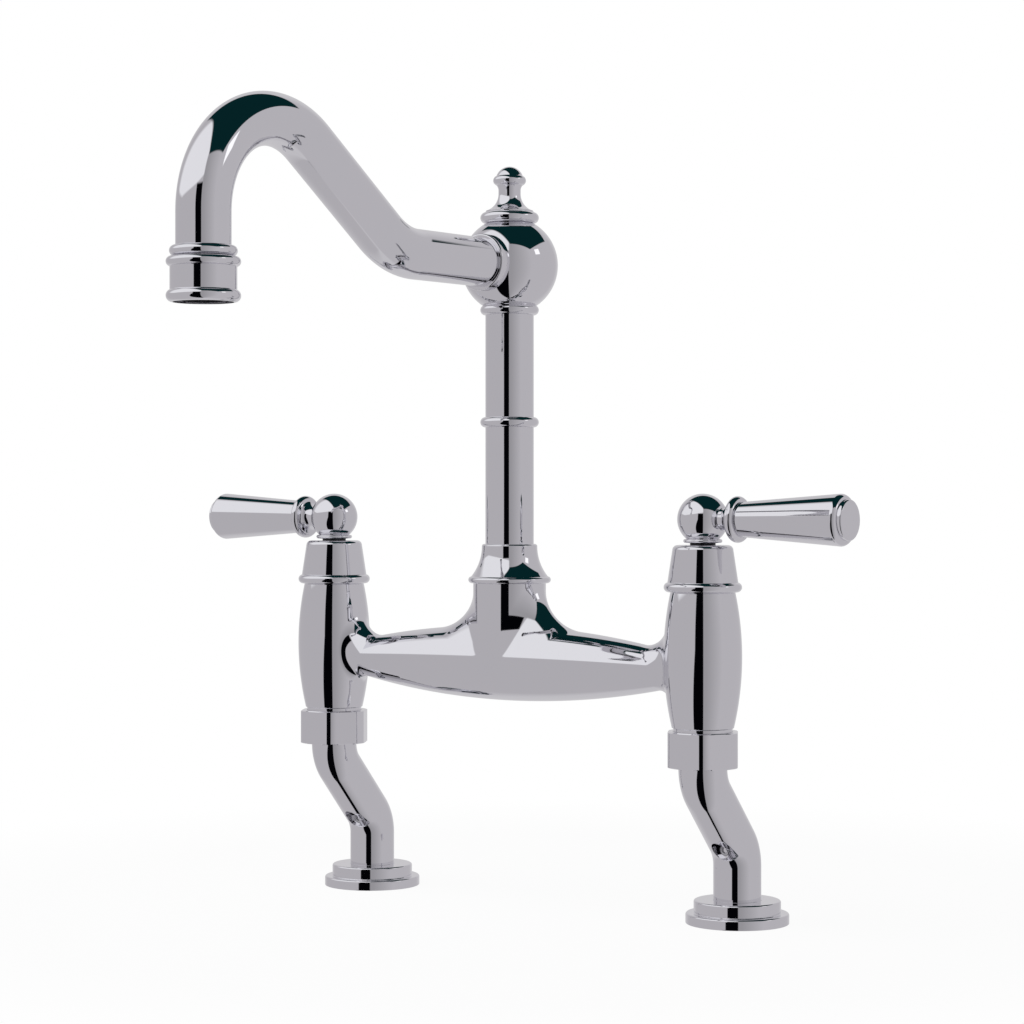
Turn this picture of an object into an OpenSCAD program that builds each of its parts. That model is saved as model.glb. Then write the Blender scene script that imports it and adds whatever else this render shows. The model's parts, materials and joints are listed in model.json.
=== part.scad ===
// Bridge kitchen faucet with two lever handles and a high swivel spout.
// The origin lies on the deck, midway between the two tap holes.
// X runs along the bridge, Y to the wall, Z up.

/* [Layout] */
// Distance between the tap holes, centre to centre
tap_centres = 203.2; // [190:0.1:230]
// Height of the bar's axis over the deck
bar_height = 111.7; // [104:0.1:140]
// How far the bar stands in front of the tap holes
set_back = 29.1; // [24:0.1:36]

/* [Bar and boss] */
// Radius of the bar in its middle
bar_r = 16.8; // [16:0.1:19]
// Radius of the long arc that narrows the bar to both ends
bar_arc_r = 417; // [380:1:600]
// Radius of the waterway in the bar
bar_bore_r = 5.2; // [4:0.1:6]
// Radius of the boss in the middle of the bar
boss_r = 16.4; // [15.6:0.1:18]
// Height of the boss's top over the bar's axis
boss_rise = 36.1; // [33:0.1:45]
// Radius of the curve that runs from the boss into the bar
boss_flare_r = 24; // [20:0.5:28]

/* [Valve bodies] */
// Largest radius of a valve body
barrel_r = 16.85; // [16:0.05:20]
// Radius of the arc of its side
barrel_arc_r = 134; // [120:1:300]
// Height of its widest place over the bar's axis
barrel_belly = 6.3; // [3:0.1:10]
// Height of its top over the bar's axis
barrel_rise = 34.1; // [31:0.1:40]
// How far it reaches below the bar's axis
barrel_drop = 24.1; // [20:0.1:30]
// Radius of the chamber for the cartridge
chamber_r = 11.2; // [10.6:0.1:12]
// Radius of the inlet under the cartridge
inlet_r = 6.8; // [5.5:0.1:7.4]
// Radius of the curve above the bar where it meets the valve body
fillet_top_r = 12; // [9:0.5:14]
// Radius of the curve below the bar where it meets the valve body
fillet_low_r = 6; // [4:0.5:8]

/* [Valve covers] */
// Height of a cover
cover_h = 20.2; // [18:0.1:26]
// Radius at the foot of its cone
cover_foot_r = 15.2; // [14.6:0.1:16]
// Radius at the top of its cone
cover_top_r = 13.1; // [12.4:0.1:14]
// Radius of the round shoulder on top
cover_round = 2.2; // [1:0.1:2.4]
// Radius of the bead at the foot
cover_bead_r = 16.8; // [16.2:0.1:19]
// Height of that bead
cover_bead_h = 4.2; // [3:0.1:5]
// Thickness of the cover's top wall
cover_wall = 2.4; // [2:0.1:2.8]

/* [Cartridges] */
// Radius of the spindle
spindle_r = 5.5; // [5:0.1:6]
// Radius of the ceramic discs
disc_r = 8; // [7.6:0.1:8.4]
// Thickness of one disc
disc_h = 3; // [2.5:0.1:4]
// Thickness of the seal under the fixed disc
seat_h = 2; // [1.5:0.1:3]
// Outer radius of the sleeve round the discs
sleeve_r = 9.4; // [9.2:0.1:9.8]
// Height of the hexagon-free flange on the valve body
cart_flange_h = 3.2; // [2.5:0.1:4]
// Radius of that flange
cart_flange_r = 12.8; // [12.4:0.1:13.2]

/* [Levers] */
// Width of the gap that shows the spindle under the lever
spindle_gap = 0.95; // [0.6:0.05:3]
// Radius of the ball
hub_r = 11; // [10.4:0.1:13]
// Radius of the ring under the ball
hub_base_r = 8.4; // [7.6:0.1:9.6]
// Height of that ring
hub_base_h = 1.7; // [1.2:0.1:2.5]
// Height of the ball's centre over the ring's underside
hub_rise = 10.15; // [9.6:0.05:12]
// Least radius of the trumpet-shaped neck
neck_r = 4.8; // [4.2:0.1:5.6]
// Distance from the spindle's axis to the middle of the neck's ring
ring_x = 17.4; // [16.6:0.1:22]
// Outer radius of the ring
ring_r = 9.95; // [9:0.05:12]
// Width of the ring
ring_w = 4.2; // [3:0.1:5]
// Radius of the grip at its inner end
grip_in_r = 7.5; // [6.8:0.1:9]
// Radius of the grip at its outer end
grip_out_r = 11; // [10:0.1:13]
// Radius of the round shoulder at the grip's outer end
grip_round = 2.6; // [1.5:0.1:3.5]
// Distance from the spindle's axis to the lever's tip
lever_reach = 71.4; // [60:0.1:95]
// Radius of the end button
button_r = 8.7; // [7.5:0.1:9.4]
// Height of the end button
button_h = 2; // [1.4:0.1:3]

/* [Swivel and column] */
// Height of the ferrule
ferrule_h = 17.6; // [16:0.1:22]
// Radius of the ferrule's top
ferrule_top_r = 12.5; // [12.2:0.1:13.5]
// Radius of the ferrule over its bead
ferrule_foot_r = 17.3; // [16.6:0.1:18]
// Radius of the ferrule's bead
ferrule_bead_r = 18.6; // [18.2:0.1:20]
// Height of the ferrule's bead
ferrule_bead_h = 3; // [2.4:0.1:3.4]
// Radius of the column tube and the spout tube
tube_r = 10.9; // [10.4:0.1:11.3]
// Wall of both tubes
tube_wall = 1.5; // [1.2:0.1:2]
// Height of the ball's centre over the boss
ball_rise = 143.2; // [110:0.1:200]
// Radius of the ball
ball_r = 21.8; // [20.6:0.1:25]
// Outer radius of the beads on the column
bead_r = 13.2; // [12.6:0.1:15]
// Height of the beads on the column
bead_h = 4.6; // [3:0.1:6]
// Height of the middle bead over the boss
mid_bead_rise = 72.5; // [50:0.1:90]

/* [Finial] */
// Radius of the bead on the ball
finial_bead_r = 13.2; // [11.6:0.1:15]
// Height of that bead
finial_bead_h = 4.9; // [4:0.1:6]
// Radius of the curve from the bead to the neck
finial_flare_r = 8; // [6.5:0.1:9.5]
// Least radius of the neck
finial_neck_r = 5; // [4.2:0.1:5.6]
// Height of the straight neck
finial_neck_h = 1.6; // [1:0.1:4]
// Radius of the ring round the knob
finial_ring_r = 7.4; // [6.9:0.1:9]
// Height of that ring
finial_ring_h = 4.4; // [3:0.1:5]
// Radius of the knob
finial_knob_r = 6.3; // [6:0.1:6.8]

/* [Spout] */
// Distance from the column's axis to the mouth's axis
spout_reach = 206; // [190:0.5:260]
// Level run before the first bend
spout_run = 70.5; // [50:0.5:80]
// Radius of the first bend
low_bend_r = 44; // [30:0.5:60]
// Angle at which the spout rises
rise_angle = 34.5; // [25:0.5:45]
// Radius of the arch
arch_r = 40.5; // [34:0.5:44]
// How far the mouth lies below the end of the arch
mouth_drop = 35.25; // [28:0.05:60]
// Outer radius of the collar where the spout leaves the ball
socket_r = 12.6; // [12.2:0.1:14]
// How far that collar stands out of the ball
socket_out = 1.7; // [1:0.1:6]

/* [Outlet] */
// Radius of the two large beads
mouth_bead_r = 14.6; // [14:0.1:17]
// Height of the bottom bead
mouth_foot_h = 5; // [4:0.1:7]
// Radius of the band between the beads
mouth_band_r = 13.1; // [12.8:0.1:13.9]
// Height of that band
mouth_band_h = 8.8; // [7:0.1:14]
// Height of the upper large bead
mouth_mid_h = 4; // [3:0.1:5]
// Radius of the small bead on top
mouth_top_r = 13.3; // [12.6:0.1:14]
// Height of that bead
mouth_top_h = 4.3; // [3:0.1:5]
// Radius of the thread for the aerator
mouth_r = 11.9; // [11.6:0.1:12.1]

/* [Legs] */
// Width across the flats of a union nut
nut_af = 30; // [28.6:0.1:36]
// Height of a union nut
nut_h = 15.5; // [13.5:0.1:20]
// Gap between a union nut and the valve body
nut_gap = 1.5; // [0.5:0.1:3]
// Radius of the threaded end under the valve body
stub_r = 12.8; // [12.3:0.1:13.2]
// Radius of a leg
leg_r = 10.5; // [10:0.1:11.2]
// Radius of the waterway in a leg
leg_bore_r = 5.6; // [4.5:0.1:6]
// Radius of the two bends
leg_bend_r = 17; // [14:0.5:20]
// Angle of the slanting part
leg_angle = 42.4; // [36:0.1:50]
// Radius of the bore for the shank that stands out of the deck
shank_r = 6.4; // [6.2:0.1:6.6]
// Radius of the recess for the clamping screw
recess_r = 4.8; // [4:0.1:5.4]
// Radius of the clamping screw
clamp_r = 2.5; // [2:0.1:3]

/* [Feet] */
// Radius of the lower step
foot_r = 22.7; // [21.6:0.1:28]
// Height of the lower step
foot_h = 4.6; // [3:0.1:7]
// Radius of the upper step
foot_step_r = 19.1; // [16:0.1:20.5]
// Height of the upper step
foot_step_h = 5.6; // [3:0.1:8]

/* [Fits] */
// Gap round a part that turns in a bore
run_gap = 0.06; // [0.02:0.01:0.1]
// Gap at the ends of a part that turns
end_gap = 0.15; // [0.1:0.05:0.4]
// Gap round a seal that turns in a bore
seal_gap = 0.03; // [0.02:0.01:0.06]

/* [Hidden] */
$fn = 96;
arc_steps = 720;
over = 1;
lap = 0.4;
lap_step = 0.03;

valve_x = tap_centres / 2;
boss_z = bar_height + boss_rise;
ball_z = boss_z + ball_rise;

// Bar
bar_end_share = 0.94;
bar_half = valve_x * bar_end_share;
flare_z = boss_z + boss_flare_r / 8;
flare_x = boss_r + boss_flare_r;
flare_tip_share = 0.965;
flare_len = flare_x * flare_tip_share;
flare_w = boss_r + end_gap;
flare_arc_r = (flare_len * flare_len + flare_w * flare_w) / (2 * flare_w);
boss_lip = 1.8;

// Valve body
barrel_top = bar_height + barrel_rise;
barrel_low = bar_height - barrel_drop;
belly_z = bar_height + barrel_belly;
wall_x = valve_x - barrel_r;
fillet_in = 1.1;
fillet_sink = 0.25;
fillet_side_r = 8;
fillet_w = bar_r_at(wall_x) + 0.2 * fillet_in;
fillet_turn = asin((fillet_w + fillet_side_r) / (barrel_r + fillet_side_r));
fillet_x = valve_x - (barrel_r + fillet_side_r) * cos(fillet_turn);
fillet_reach = barrel_r * sin(fillet_turn);

// Union nuts
nut_top = barrel_low - nut_gap;
nut_low = nut_top - nut_h;
nut_floor = 2;
collar_h = 2.4;
washer_h = 2;
stub_low = nut_low + nut_floor + collar_h + washer_h;
nut_chamfer = 1.2;
nut_slope = 2;

// Legs
crank_run = (set_back - 2 * leg_bend_r * (1 - cos(leg_angle))) / sin(leg_angle);
crank_rise = 2 * leg_bend_r * sin(leg_angle) + crank_run * cos(leg_angle);
leg_top_run = 0.5;
leg_run = nut_low - leg_top_run - crank_rise;
crank_top = leg_run + crank_rise;
clamp_share = 0.47;
clamp_up = leg_bend_r * clamp_share;
clamp_z = leg_run + clamp_up;
bend_off = leg_bend_r - sqrt(leg_bend_r * leg_bend_r - clamp_up * clamp_up);
recess_floor = leg_r + bend_off - recess_r / 2;
clamp_out = 0.7;
clamp_key_r = clamp_r / 2;
shank_len = clamp_z + clamp_r + over;

// Feet
foot_round = 0.9;
gasket_h = 1.5;
gasket_in = leg_r + 2.5 * over;
gasket_out = foot_r - 2.2 * over;

// Cartridge, from the valve body's axis
seat_z = bar_height - disc_h - seat_h - 2.7 * over;
disc_z = seat_z + seat_h;
disc_top = disc_z + 2 * disc_h;
window_r = 3;
window_z = disc_top + window_r;
stop_h = 2;
stop_r = disc_r - over;
cavity_top = window_z + window_r + stop_h + end_gap + over / 2;
thread_low = cavity_top + (barrel_top - cavity_top) / 2;
cart_neck_r = 8.6;
cover_top = barrel_top + cover_h;
clip_h = 0.8;
clip_r = spindle_r + 1.7 * over;
cart_top = cover_top - cover_wall - clip_h - 2 * over;
clip_z = cart_top + end_gap;
spindle_bore = spindle_r + run_gap;
groove_r = spindle_r - 1.3 * over;
ring_seal_r = (spindle_bore - seal_gap - groove_r - seal_gap) / 2;
groove_w = 2 * ring_seal_r + end_gap;
seal_at = [0.45, 0.7];
seal_z_share = seal_at;
key_w = 2.5;
key_h = 1.6;
key_len_share = 1.3;
port_r = disc_r * 0.42;
port_at = disc_r * 0.48;

// Lever
hub_low = cover_top + spindle_gap;
hub_z = hub_low + hub_rise;
spline_r = spindle_r - over;
spline_top = hub_z - over / 2;
stud_r = 3;
stud_in = spline_r + 0.8 * over;
neck_x = hub_r;
flare_end = ring_x - ring_w / 2;
neck_flare_x = flare_end - neck_x;
neck_out_r = ring_r - ring_w / 2;
neck_rise = neck_out_r - neck_r;
neck_flare_r = (neck_flare_x * neck_flare_x + neck_rise * neck_rise) / (2 * neck_rise);
grip_x = ring_x + ring_w / 2;
grip_end = lever_reach - button_h;
grip_bore_r = 5.4;
grip_bore_share = 0.3;
grip_bore_x = grip_x + (grip_end - grip_x) * grip_bore_share;
plug_len = 8;
button_round = 0.9;
grub_r = 2;
grub_in = spline_r;
grub_out_share = 0.85;

// Swivel
neck_bore_r = tube_r + 0.9 * over;
thread_r = neck_bore_r + 1.6 * over;
thread_h = 3.7;
swivel_top = boss_z + thread_h;
keeper_h = 1.2;
keeper_r = thread_r - 0.4 * over;
keeper_z = swivel_top + end_gap;
keeper_groove_r = tube_r - over;
ferrule_roof = keeper_z + keeper_h + end_gap;
ferrule_top = boss_z + ferrule_h;
ferrule_round = 1;
ferrule_arc_top = ferrule_top - ferrule_round;
ferrule_rise = ferrule_arc_top - boss_z - ferrule_bead_h;
ferrule_flare = ferrule_foot_r - ferrule_top_r;
ferrule_arc_r = (ferrule_rise * ferrule_rise + ferrule_flare * ferrule_flare) / (2 * ferrule_flare);
bush_low = boss_z - 8 * over;
tail_low = bar_height + bar_r - over;
tail_top = ferrule_top - 1.4 * over;
tail_step = bush_low - 0.5 * over;
tail_r = neck_bore_r - run_gap;
tail_bore_r = tube_r - tube_wall - 1.6 * over;
spigot_r = tube_r - tube_wall;
spigot_h = 8;
tail_groove_r = tail_r - 1.6 * over;
tail_seal_r = (neck_bore_r - seal_gap - tail_groove_r - seal_gap) / 2;
tail_groove_w = 2 * tail_seal_r + end_gap;
tail_seal_share = [0.3, 0.7];
well_low = tail_low - 2 * over;
well_r = tail_bore_r;

// Column and ball
tube_in = tube_r - tube_wall;
column_top = ball_z - tube_r - 0.2 * over;
mid_bead_z = boss_z + mid_bead_rise;
ball_bead_z = ball_z - ball_r + 1.7 * over;
hollow_share = 0.66;
hollow_r = ball_r * hollow_share;
socket_x = ball_r + socket_out;
socket_in = tube_r + 0.2 * over;
edge_round = 0.8;

// Finial
finial_z = ball_z + ball_r - 2.8 * over;
finial_flare_z = finial_z + finial_bead_h + finial_flare_r + 0.4 * over;
finial_neck_top = finial_flare_z + finial_neck_h;
finial_ring_z = finial_neck_top + finial_ring_h / 2 + 2.2 * over;
finial_cove_r = finial_ring_z - finial_neck_top - finial_ring_h / 4;
finial_stud_low = ball_z + hollow_r + 1.2 * over;
finial_stud_top = finial_neck_top;

// Spout, in a plane with u forward and v up from the ball's centre
bend_u = spout_run + low_bend_r * sin(rise_angle);
bend_v = low_bend_r * (1 - cos(rise_angle));
arch_reach = arch_r * (1 + sin(rise_angle));
slant = (spout_reach - arch_reach - bend_u) / cos(rise_angle);
slant_u = bend_u + slant * cos(rise_angle);
slant_v = bend_v + slant * sin(rise_angle);
arch_v = slant_v - arch_r * cos(rise_angle);

// Outlet, from the mouth upwards
mouth_z = ball_z + arch_v - mouth_drop;
band_z = mouth_z + mouth_foot_h;
mid_z = band_z + mouth_band_h;
top_z = mid_z + mouth_mid_h;
collar_top = top_z + mouth_top_h;
tube_end = mouth_z + mouth_foot_h + mouth_band_h / 2 + 0.6 * over;
air_low = mouth_z + 2 * over;
air_washer_h = 1.6;
air_top = tube_end - air_washer_h;
air_in = mouth_r - 1.8 * over;
air_step = air_low + 1.4 * over;
mesh_h = 0.6;
mesh_pitch = 2.3;
mesh_hole = 1.7;
mesh_count = floor(2 * air_in / mesh_pitch);

chrome = [0.80, 0.80, 0.83];
brass = [0.80, 0.66, 0.36];
steel = [0.62, 0.62, 0.64];
ceramic = [0.93, 0.92, 0.89];
rubber = [0.12, 0.12, 0.12];
plastic = [0.90, 0.90, 0.86];
dark = [0.10, 0.10, 0.11];

// Radius of the bar at a distance from its middle
function bar_r_at(x) = bar_r - bar_arc_r + sqrt(bar_arc_r * bar_arc_r - x * x);

// Radius of a valve body at a height
function barrel_r_at(z) = barrel_r - barrel_arc_r
    + sqrt(barrel_arc_r * barrel_arc_r - (z - belly_z) * (z - belly_z));

// Round bead in the half plane, solid to the axis
module bead_2d(r, h, z) {
    translate([r - h / 2, z + h / 2])
        circle(h / 2);
    translate([0, z])
        square([r - h / 2, h]);
}

// Step with a round upper edge in the half plane
module step_2d(r, h, z, round_r) {
    translate([0, z])
        square([r, h - round_r]);
    translate([0, z])
        square([r - round_r, h]);
    translate([r - round_r, z + h - round_r])
        circle(round_r);
}

// Flat ring
module ring(r_out, r_in, h) {
    difference() {
        cylinder(r = r_out, h = h);
        translate([0, 0, -over])
            cylinder(r = r_in, h = h + 2 * over);
    }
}

// Round seal
module seal(mid_r, wire_r) {
    rotate_extrude()
        translate([mid_r, 0])
            circle(wire_r);
}

module on_column() {
    translate([0, -set_back, 0])
        children();
}

module on_valve(side) {
    translate([side * valve_x, -set_back, 0])
        children();
}

module on_foot(side) {
    translate([side * valve_x, 0, 0])
        children();
}

// Turns a lever built along +X to its own side
module to_side(side) {
    on_valve(side)
        mirror([side < 0 ? 1 : 0, 0, 0])
            children();
}

// Puts a shape built along Z on the bar's axis
module along_bar() {
    translate([0, -set_back, bar_height])
        rotate([0, 90, 0])
            children();
}

// Turns the plane of u and v to the spout's own plane at the ball
module spout_plane() {
    translate([0, -set_back, ball_z])
        rotate([90, 0, -90])
            children();
}

// Fixed parts

module bar() {
    along_bar()
        rotate_extrude()
            intersection() {
                translate([bar_r - bar_arc_r, 0])
                    circle(bar_arc_r, $fn = arc_steps);
                translate([0, -bar_half])
                    square([bar_r + over, 2 * bar_half]);
            }
}

module barrel() {
    rotate_extrude()
        intersection() {
            translate([barrel_r - barrel_arc_r, belly_z])
                circle(barrel_arc_r, $fn = arc_steps);
            translate([0, barrel_low])
                square([barrel_r + over, barrel_top - barrel_low]);
        }
}

// Curve from the boss down into the bar, only as wide as the bar
module boss_flare() {
    intersection() {
        rotate_extrude()
            difference() {
                translate([0, bar_height])
                    square([flare_x, boss_rise - boss_lip]);
                translate([flare_x, flare_z])
                    circle(boss_flare_r, $fn = arc_steps);
            }
        translate([0, 0, bar_height])
            linear_extrude(boss_rise)
                intersection_for(s = [-1, 1])
                    translate([0, s * (flare_arc_r - flare_w)])
                        circle(flare_arc_r, $fn = arc_steps);
    }
}

// Curve from the bar into a valve body on one half of the bar
module bar_fillet(r, up) {
    start = valve_x - barrel_r + fillet_in - r;
    mid_r = bar_r_at(start) + r - fillet_sink;
    intersection() {
        along_bar()
            rotate_extrude()
                difference() {
                    translate([0, start])
                        square([mid_r, valve_x - start]);
                    translate([mid_r, start])
                        circle(r);
                }
        translate([0, -set_back, up ? bar_height : bar_height - bar_r])
            linear_extrude(up ? barrel_rise : bar_r)
                fillet_plan(start);
    }
}

// Plan of that curve: as wide as the bar, then widening to the valve body
module fillet_plan(start) {
    translate([start, -fillet_w])
        square([valve_x - start, 2 * fillet_w]);
    difference() {
        translate([fillet_x, -fillet_reach])
            square([valve_x - fillet_x, 2 * fillet_reach]);
        for (s = [-1, 1])
            translate([fillet_x, s * (fillet_w + fillet_side_r)])
                circle(fillet_side_r);
    }
}

module bridge_body() {
    color(chrome)
        difference() {
            union() {
                bar();
                on_column() {
                    translate([0, 0, bar_height])
                        cylinder(r = boss_r, h = boss_rise);
                    translate([0, 0, bar_height])
                        cylinder(r = thread_r, h = boss_rise + thread_h);
                    boss_flare();
                }
                for (side = [-1, 1])
                    on_valve(side) {
                        barrel();
                        translate([0, 0, stub_low])
                            cylinder(r = stub_r, h = barrel_low - stub_low + over);
                    }
                for (turn = [0, 1])
                    mirror([turn, 0, 0]) {
                        bar_fillet(fillet_top_r, true);
                        bar_fillet(fillet_low_r, false);
                    }
            }
            along_bar()
                translate([0, 0, -valve_x])
                    cylinder(r = bar_bore_r, h = 2 * valve_x);
            on_column() {
                translate([0, 0, bar_height])
                    cylinder(r = well_r, h = boss_rise);
                translate([0, 0, well_low])
                    cylinder(r = neck_bore_r, h = swivel_top - well_low + over);
            }
            for (side = [-1, 1])
                on_valve(side) {
                    translate([0, 0, seat_z])
                        cylinder(r = chamber_r, h = barrel_top - seat_z + over);
                    translate([0, 0, stub_low - over])
                        cylinder(r = inlet_r, h = seat_z - stub_low + 2 * over);
                }
        }
}

module swivel_ferrule() {
    color(chrome)
        on_column()
            rotate_extrude()
                difference() {
                    union() {
                        bead_2d(ferrule_bead_r, ferrule_bead_h, boss_z);
                        difference() {
                            translate([0, boss_z + ferrule_bead_h / 2])
                                square([ferrule_foot_r, ferrule_arc_top - boss_z - ferrule_bead_h / 2]);
                            translate([ferrule_top_r + ferrule_arc_r, ferrule_arc_top])
                                circle(ferrule_arc_r, $fn = arc_steps);
                        }
                        step_2d(ferrule_top_r, ferrule_h / 4, ferrule_top - ferrule_h / 4, ferrule_round);
                    }
                    translate([0, boss_z - over])
                        square([thread_r, ferrule_roof - boss_z + over]);
                    translate([0, boss_z])
                        square([tube_r + end_gap, ferrule_h + over]);
                }
}

module swivel_bush() {
    color(plastic)
        on_column()
            translate([0, 0, bush_low])
                ring(neck_bore_r, tube_r + run_gap, swivel_top - bush_low);
}

module cover(side) {
    color(chrome)
        on_valve(side)
            rotate_extrude()
                difference() {
                    union() {
                        bead_2d(cover_bead_r, cover_bead_h, barrel_top);
                        polygon([[0, barrel_top + cover_bead_h / 2],
                            [cover_foot_r, barrel_top + cover_bead_h / 2],
                            [cover_foot_r, barrel_top + cover_bead_h],
                            [cover_top_r, cover_top - cover_round],
                            [0, cover_top - cover_round]]);
                        step_2d(cover_top_r, 2 * cover_round, cover_top - 2 * cover_round, cover_round);
                    }
                    translate([0, barrel_top - over])
                        square([cart_flange_r, cart_flange_h + over]);
                    translate([0, barrel_top])
                        square([cover_top_r - 2 * over, cover_h - cover_wall]);
                    translate([0, barrel_top])
                        square([spindle_r + 2 * end_gap, cover_h + over]);
                }
}

module cartridge(side) {
    color(brass)
        on_valve(side)
            difference() {
                union() {
                    translate([0, 0, disc_z])
                        cylinder(r = sleeve_r, h = barrel_top - disc_z);
                    translate([0, 0, thread_low])
                        cylinder(r = chamber_r, h = barrel_top - thread_low);
                    translate([0, 0, barrel_top])
                        cylinder(r = cart_flange_r, h = cart_flange_h);
                    translate([0, 0, barrel_top])
                        cylinder(r = cart_neck_r, h = cart_top - barrel_top);
                }
                translate([0, 0, disc_z - over])
                    cylinder(r = disc_r + run_gap, h = cavity_top - disc_z + over);
                translate([0, 0, disc_z])
                    cylinder(r = spindle_bore, h = cart_top - disc_z + over);
                for (turn = [0, 90])
                    translate([0, 0, window_z])
                        rotate([0, 90, turn])
                            cylinder(r = window_r, h = 2 * chamber_r, center = true);
            }
}

// Two ports, half a turn apart
module ports(h) {
    for (s = [-1, 1])
        translate([s * port_at, 0, -over])
            cylinder(r = port_r, h = h + 2 * over);
}

module fixed_disc(side) {
    color(ceramic)
        on_valve(side)
            translate([0, 0, disc_z])
                difference() {
                    cylinder(r = disc_r + run_gap, h = disc_h);
                    rotate([0, 0, 90])
                        ports(disc_h);
                }
}

module cartridge_seals() {
    color(rubber)
        for (side = [-1, 1])
            on_valve(side)
                translate([0, 0, seat_z])
                    ring(sleeve_r, inlet_r, seat_h);
}

module union_nut(side) {
    color(chrome)
        on_valve(side)
            difference() {
                intersection() {
                    translate([0, 0, nut_low])
                        cylinder(r = nut_af / sqrt(3), h = nut_h, $fn = 6);
                    rotate_extrude()
                        polygon([[0, nut_low],
                            [nut_af / 2 + nut_chamfer / nut_slope, nut_low],
                            [nut_af / 2 + nut_slope * nut_chamfer, nut_low + nut_chamfer],
                            [nut_af / 2 + nut_slope * nut_chamfer, nut_top - nut_chamfer],
                            [nut_af / 2 + nut_chamfer / nut_slope, nut_top],
                            [0, nut_top]]);
                }
                translate([0, 0, nut_low + nut_floor])
                    cylinder(r = stub_r, h = nut_h);
                translate([0, 0, nut_low - over])
                    cylinder(r = leg_r + end_gap, h = nut_h);
            }
}

module union_washers() {
    color(rubber)
        for (side = [-1, 1])
            on_valve(side)
                translate([0, 0, stub_low - washer_h])
                    ring(stub_r - end_gap, inlet_r, washer_h);
}

// Carries a pipe along a leg, from the deck to its collar
module leg_path(high, r, r_in) {
    pipe(r, r_in, leg_run + lap);
    translate([0, -leg_bend_r, leg_run])
        rotate([90, 0, 90])
            bend(leg_bend_r, leg_angle, 0, r, r_in);
    translate([0, -leg_bend_r * (1 - cos(leg_angle)), leg_run + leg_bend_r * sin(leg_angle)])
        rotate([leg_angle, 0, 0])
            translate([0, 0, -lap])
                pipe(r, r_in, crank_run + 2 * lap);
    translate([0, leg_bend_r - set_back, crank_top])
        rotate([90, 0, 90])
            bend(leg_bend_r, leg_angle, 180, r, r_in);
    translate([0, -set_back, crank_top - lap])
        pipe(r, r_in, high - crank_top + lap);
}

// Bent pipe, a hair thinner than the straight runs that lap over its ends
module bend(r_path, angle, start, r, r_in) {
    rotate_extrude(angle = angle, start = start)
        translate([r_path, 0])
            pipe_2d(r - lap_step, r_in + lap_step);
}

module pipe(r, r_in, h) {
    linear_extrude(h)
        pipe_2d(r, r_in);
}

module pipe_2d(r_out, r_in) {
    difference() {
        circle(r_out);
        circle(r_in);
    }
}

module leg(side) {
    collar_top_z = stub_low - washer_h;
    color(chrome)
        on_foot(side)
            difference() {
                union() {
                    leg_path(collar_top_z, leg_r, leg_bore_r);
                    translate([0, -set_back, collar_top_z - collar_h])
                        ring(stub_r - end_gap, leg_r, collar_h);
                }
                translate([0, 0, -over])
                    cylinder(r = shank_r, h = shank_len + over);
                translate([0, -recess_floor, clamp_z])
                    rotate([90, 0, 0])
                        cylinder(r = recess_r, h = leg_bend_r);
                translate([0, 0, clamp_z])
                    rotate([90, 0, 0])
                        cylinder(r = clamp_r, h = recess_floor + over);
            }
}

module clamp_screws() {
    color(steel)
        for (side = [-1, 1])
            on_foot(side)
                translate([0, -shank_r, clamp_z])
                    rotate([90, 0, 0])
                        difference() {
                            cylinder(r = clamp_r, h = recess_floor - shank_r + clamp_out);
                            translate([0, 0, (recess_floor - shank_r) / 2])
                                cylinder(r = clamp_key_r, h = recess_floor, $fn = 6);
                        }
}

module foot(side) {
    color(chrome)
        on_foot(side)
            rotate_extrude()
                difference() {
                    union() {
                        step_2d(foot_r, foot_h, 0, foot_round);
                        step_2d(foot_step_r, foot_step_h + foot_h / 2, foot_h / 2, foot_round);
                    }
                    translate([0, -over])
                        square([leg_r, foot_h + foot_step_h + 2 * over]);
                    translate([gasket_in, -over])
                        square([gasket_out - gasket_in, gasket_h + over]);
                }
}

module foot_gaskets() {
    color(rubber)
        for (side = [-1, 1])
            on_foot(side)
                ring(gasket_out, gasket_in, gasket_h);
}

// Spout

module column_tube() {
    color(chrome)
        on_column()
            translate([0, 0, tail_top])
                ring(tube_r, tube_in, column_top - tail_top);
}

module column_bead() {
    color(chrome)
        on_column()
            rotate_extrude()
                difference() {
                    bead_2d(bead_r, bead_h, mid_bead_z - bead_h / 2);
                    translate([0, mid_bead_z - bead_h])
                        square([tube_r, 2 * bead_h]);
                }
}

module ball_bead() {
    color(chrome)
        on_column()
            rotate_extrude()
                difference() {
                    bead_2d(bead_r, bead_h, ball_bead_z - bead_h / 2);
                    translate([0, ball_bead_z - bead_h])
                        square([tube_r, 2 * bead_h]);
                    translate([0, ball_z])
                        circle(ball_r);
                }
}

module ball_hub() {
    color(chrome)
        translate([0, -set_back, ball_z])
            difference() {
                sphere(ball_r);
                sphere(hollow_r);
                translate([0, 0, -ball_r - over])
                    cylinder(r = tube_r, h = ball_r + over - (ball_z - column_top));
                translate([0, 0, -ball_r])
                    cylinder(r = tube_in, h = ball_r);
                rotate([90, 0, 0])
                    cylinder(r = tube_in, h = ball_r);
                translate([0, -socket_in, 0])
                    rotate([90, 0, 0])
                        cylinder(r = tube_r, h = ball_r);
                translate([0, 0, finial_stud_low - ball_z])
                    cylinder(r = stud_r, h = ball_r);
            }
}

module socket_collar() {
    color(chrome)
        spout_plane()
            rotate([0, 90, 0])
                rotate_extrude()
                    difference() {
                        step_2d(socket_r, socket_x / 2, socket_x / 2, edge_round);
                        square([tube_r, socket_x + over]);
                        circle(ball_r);
                    }
}

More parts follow.
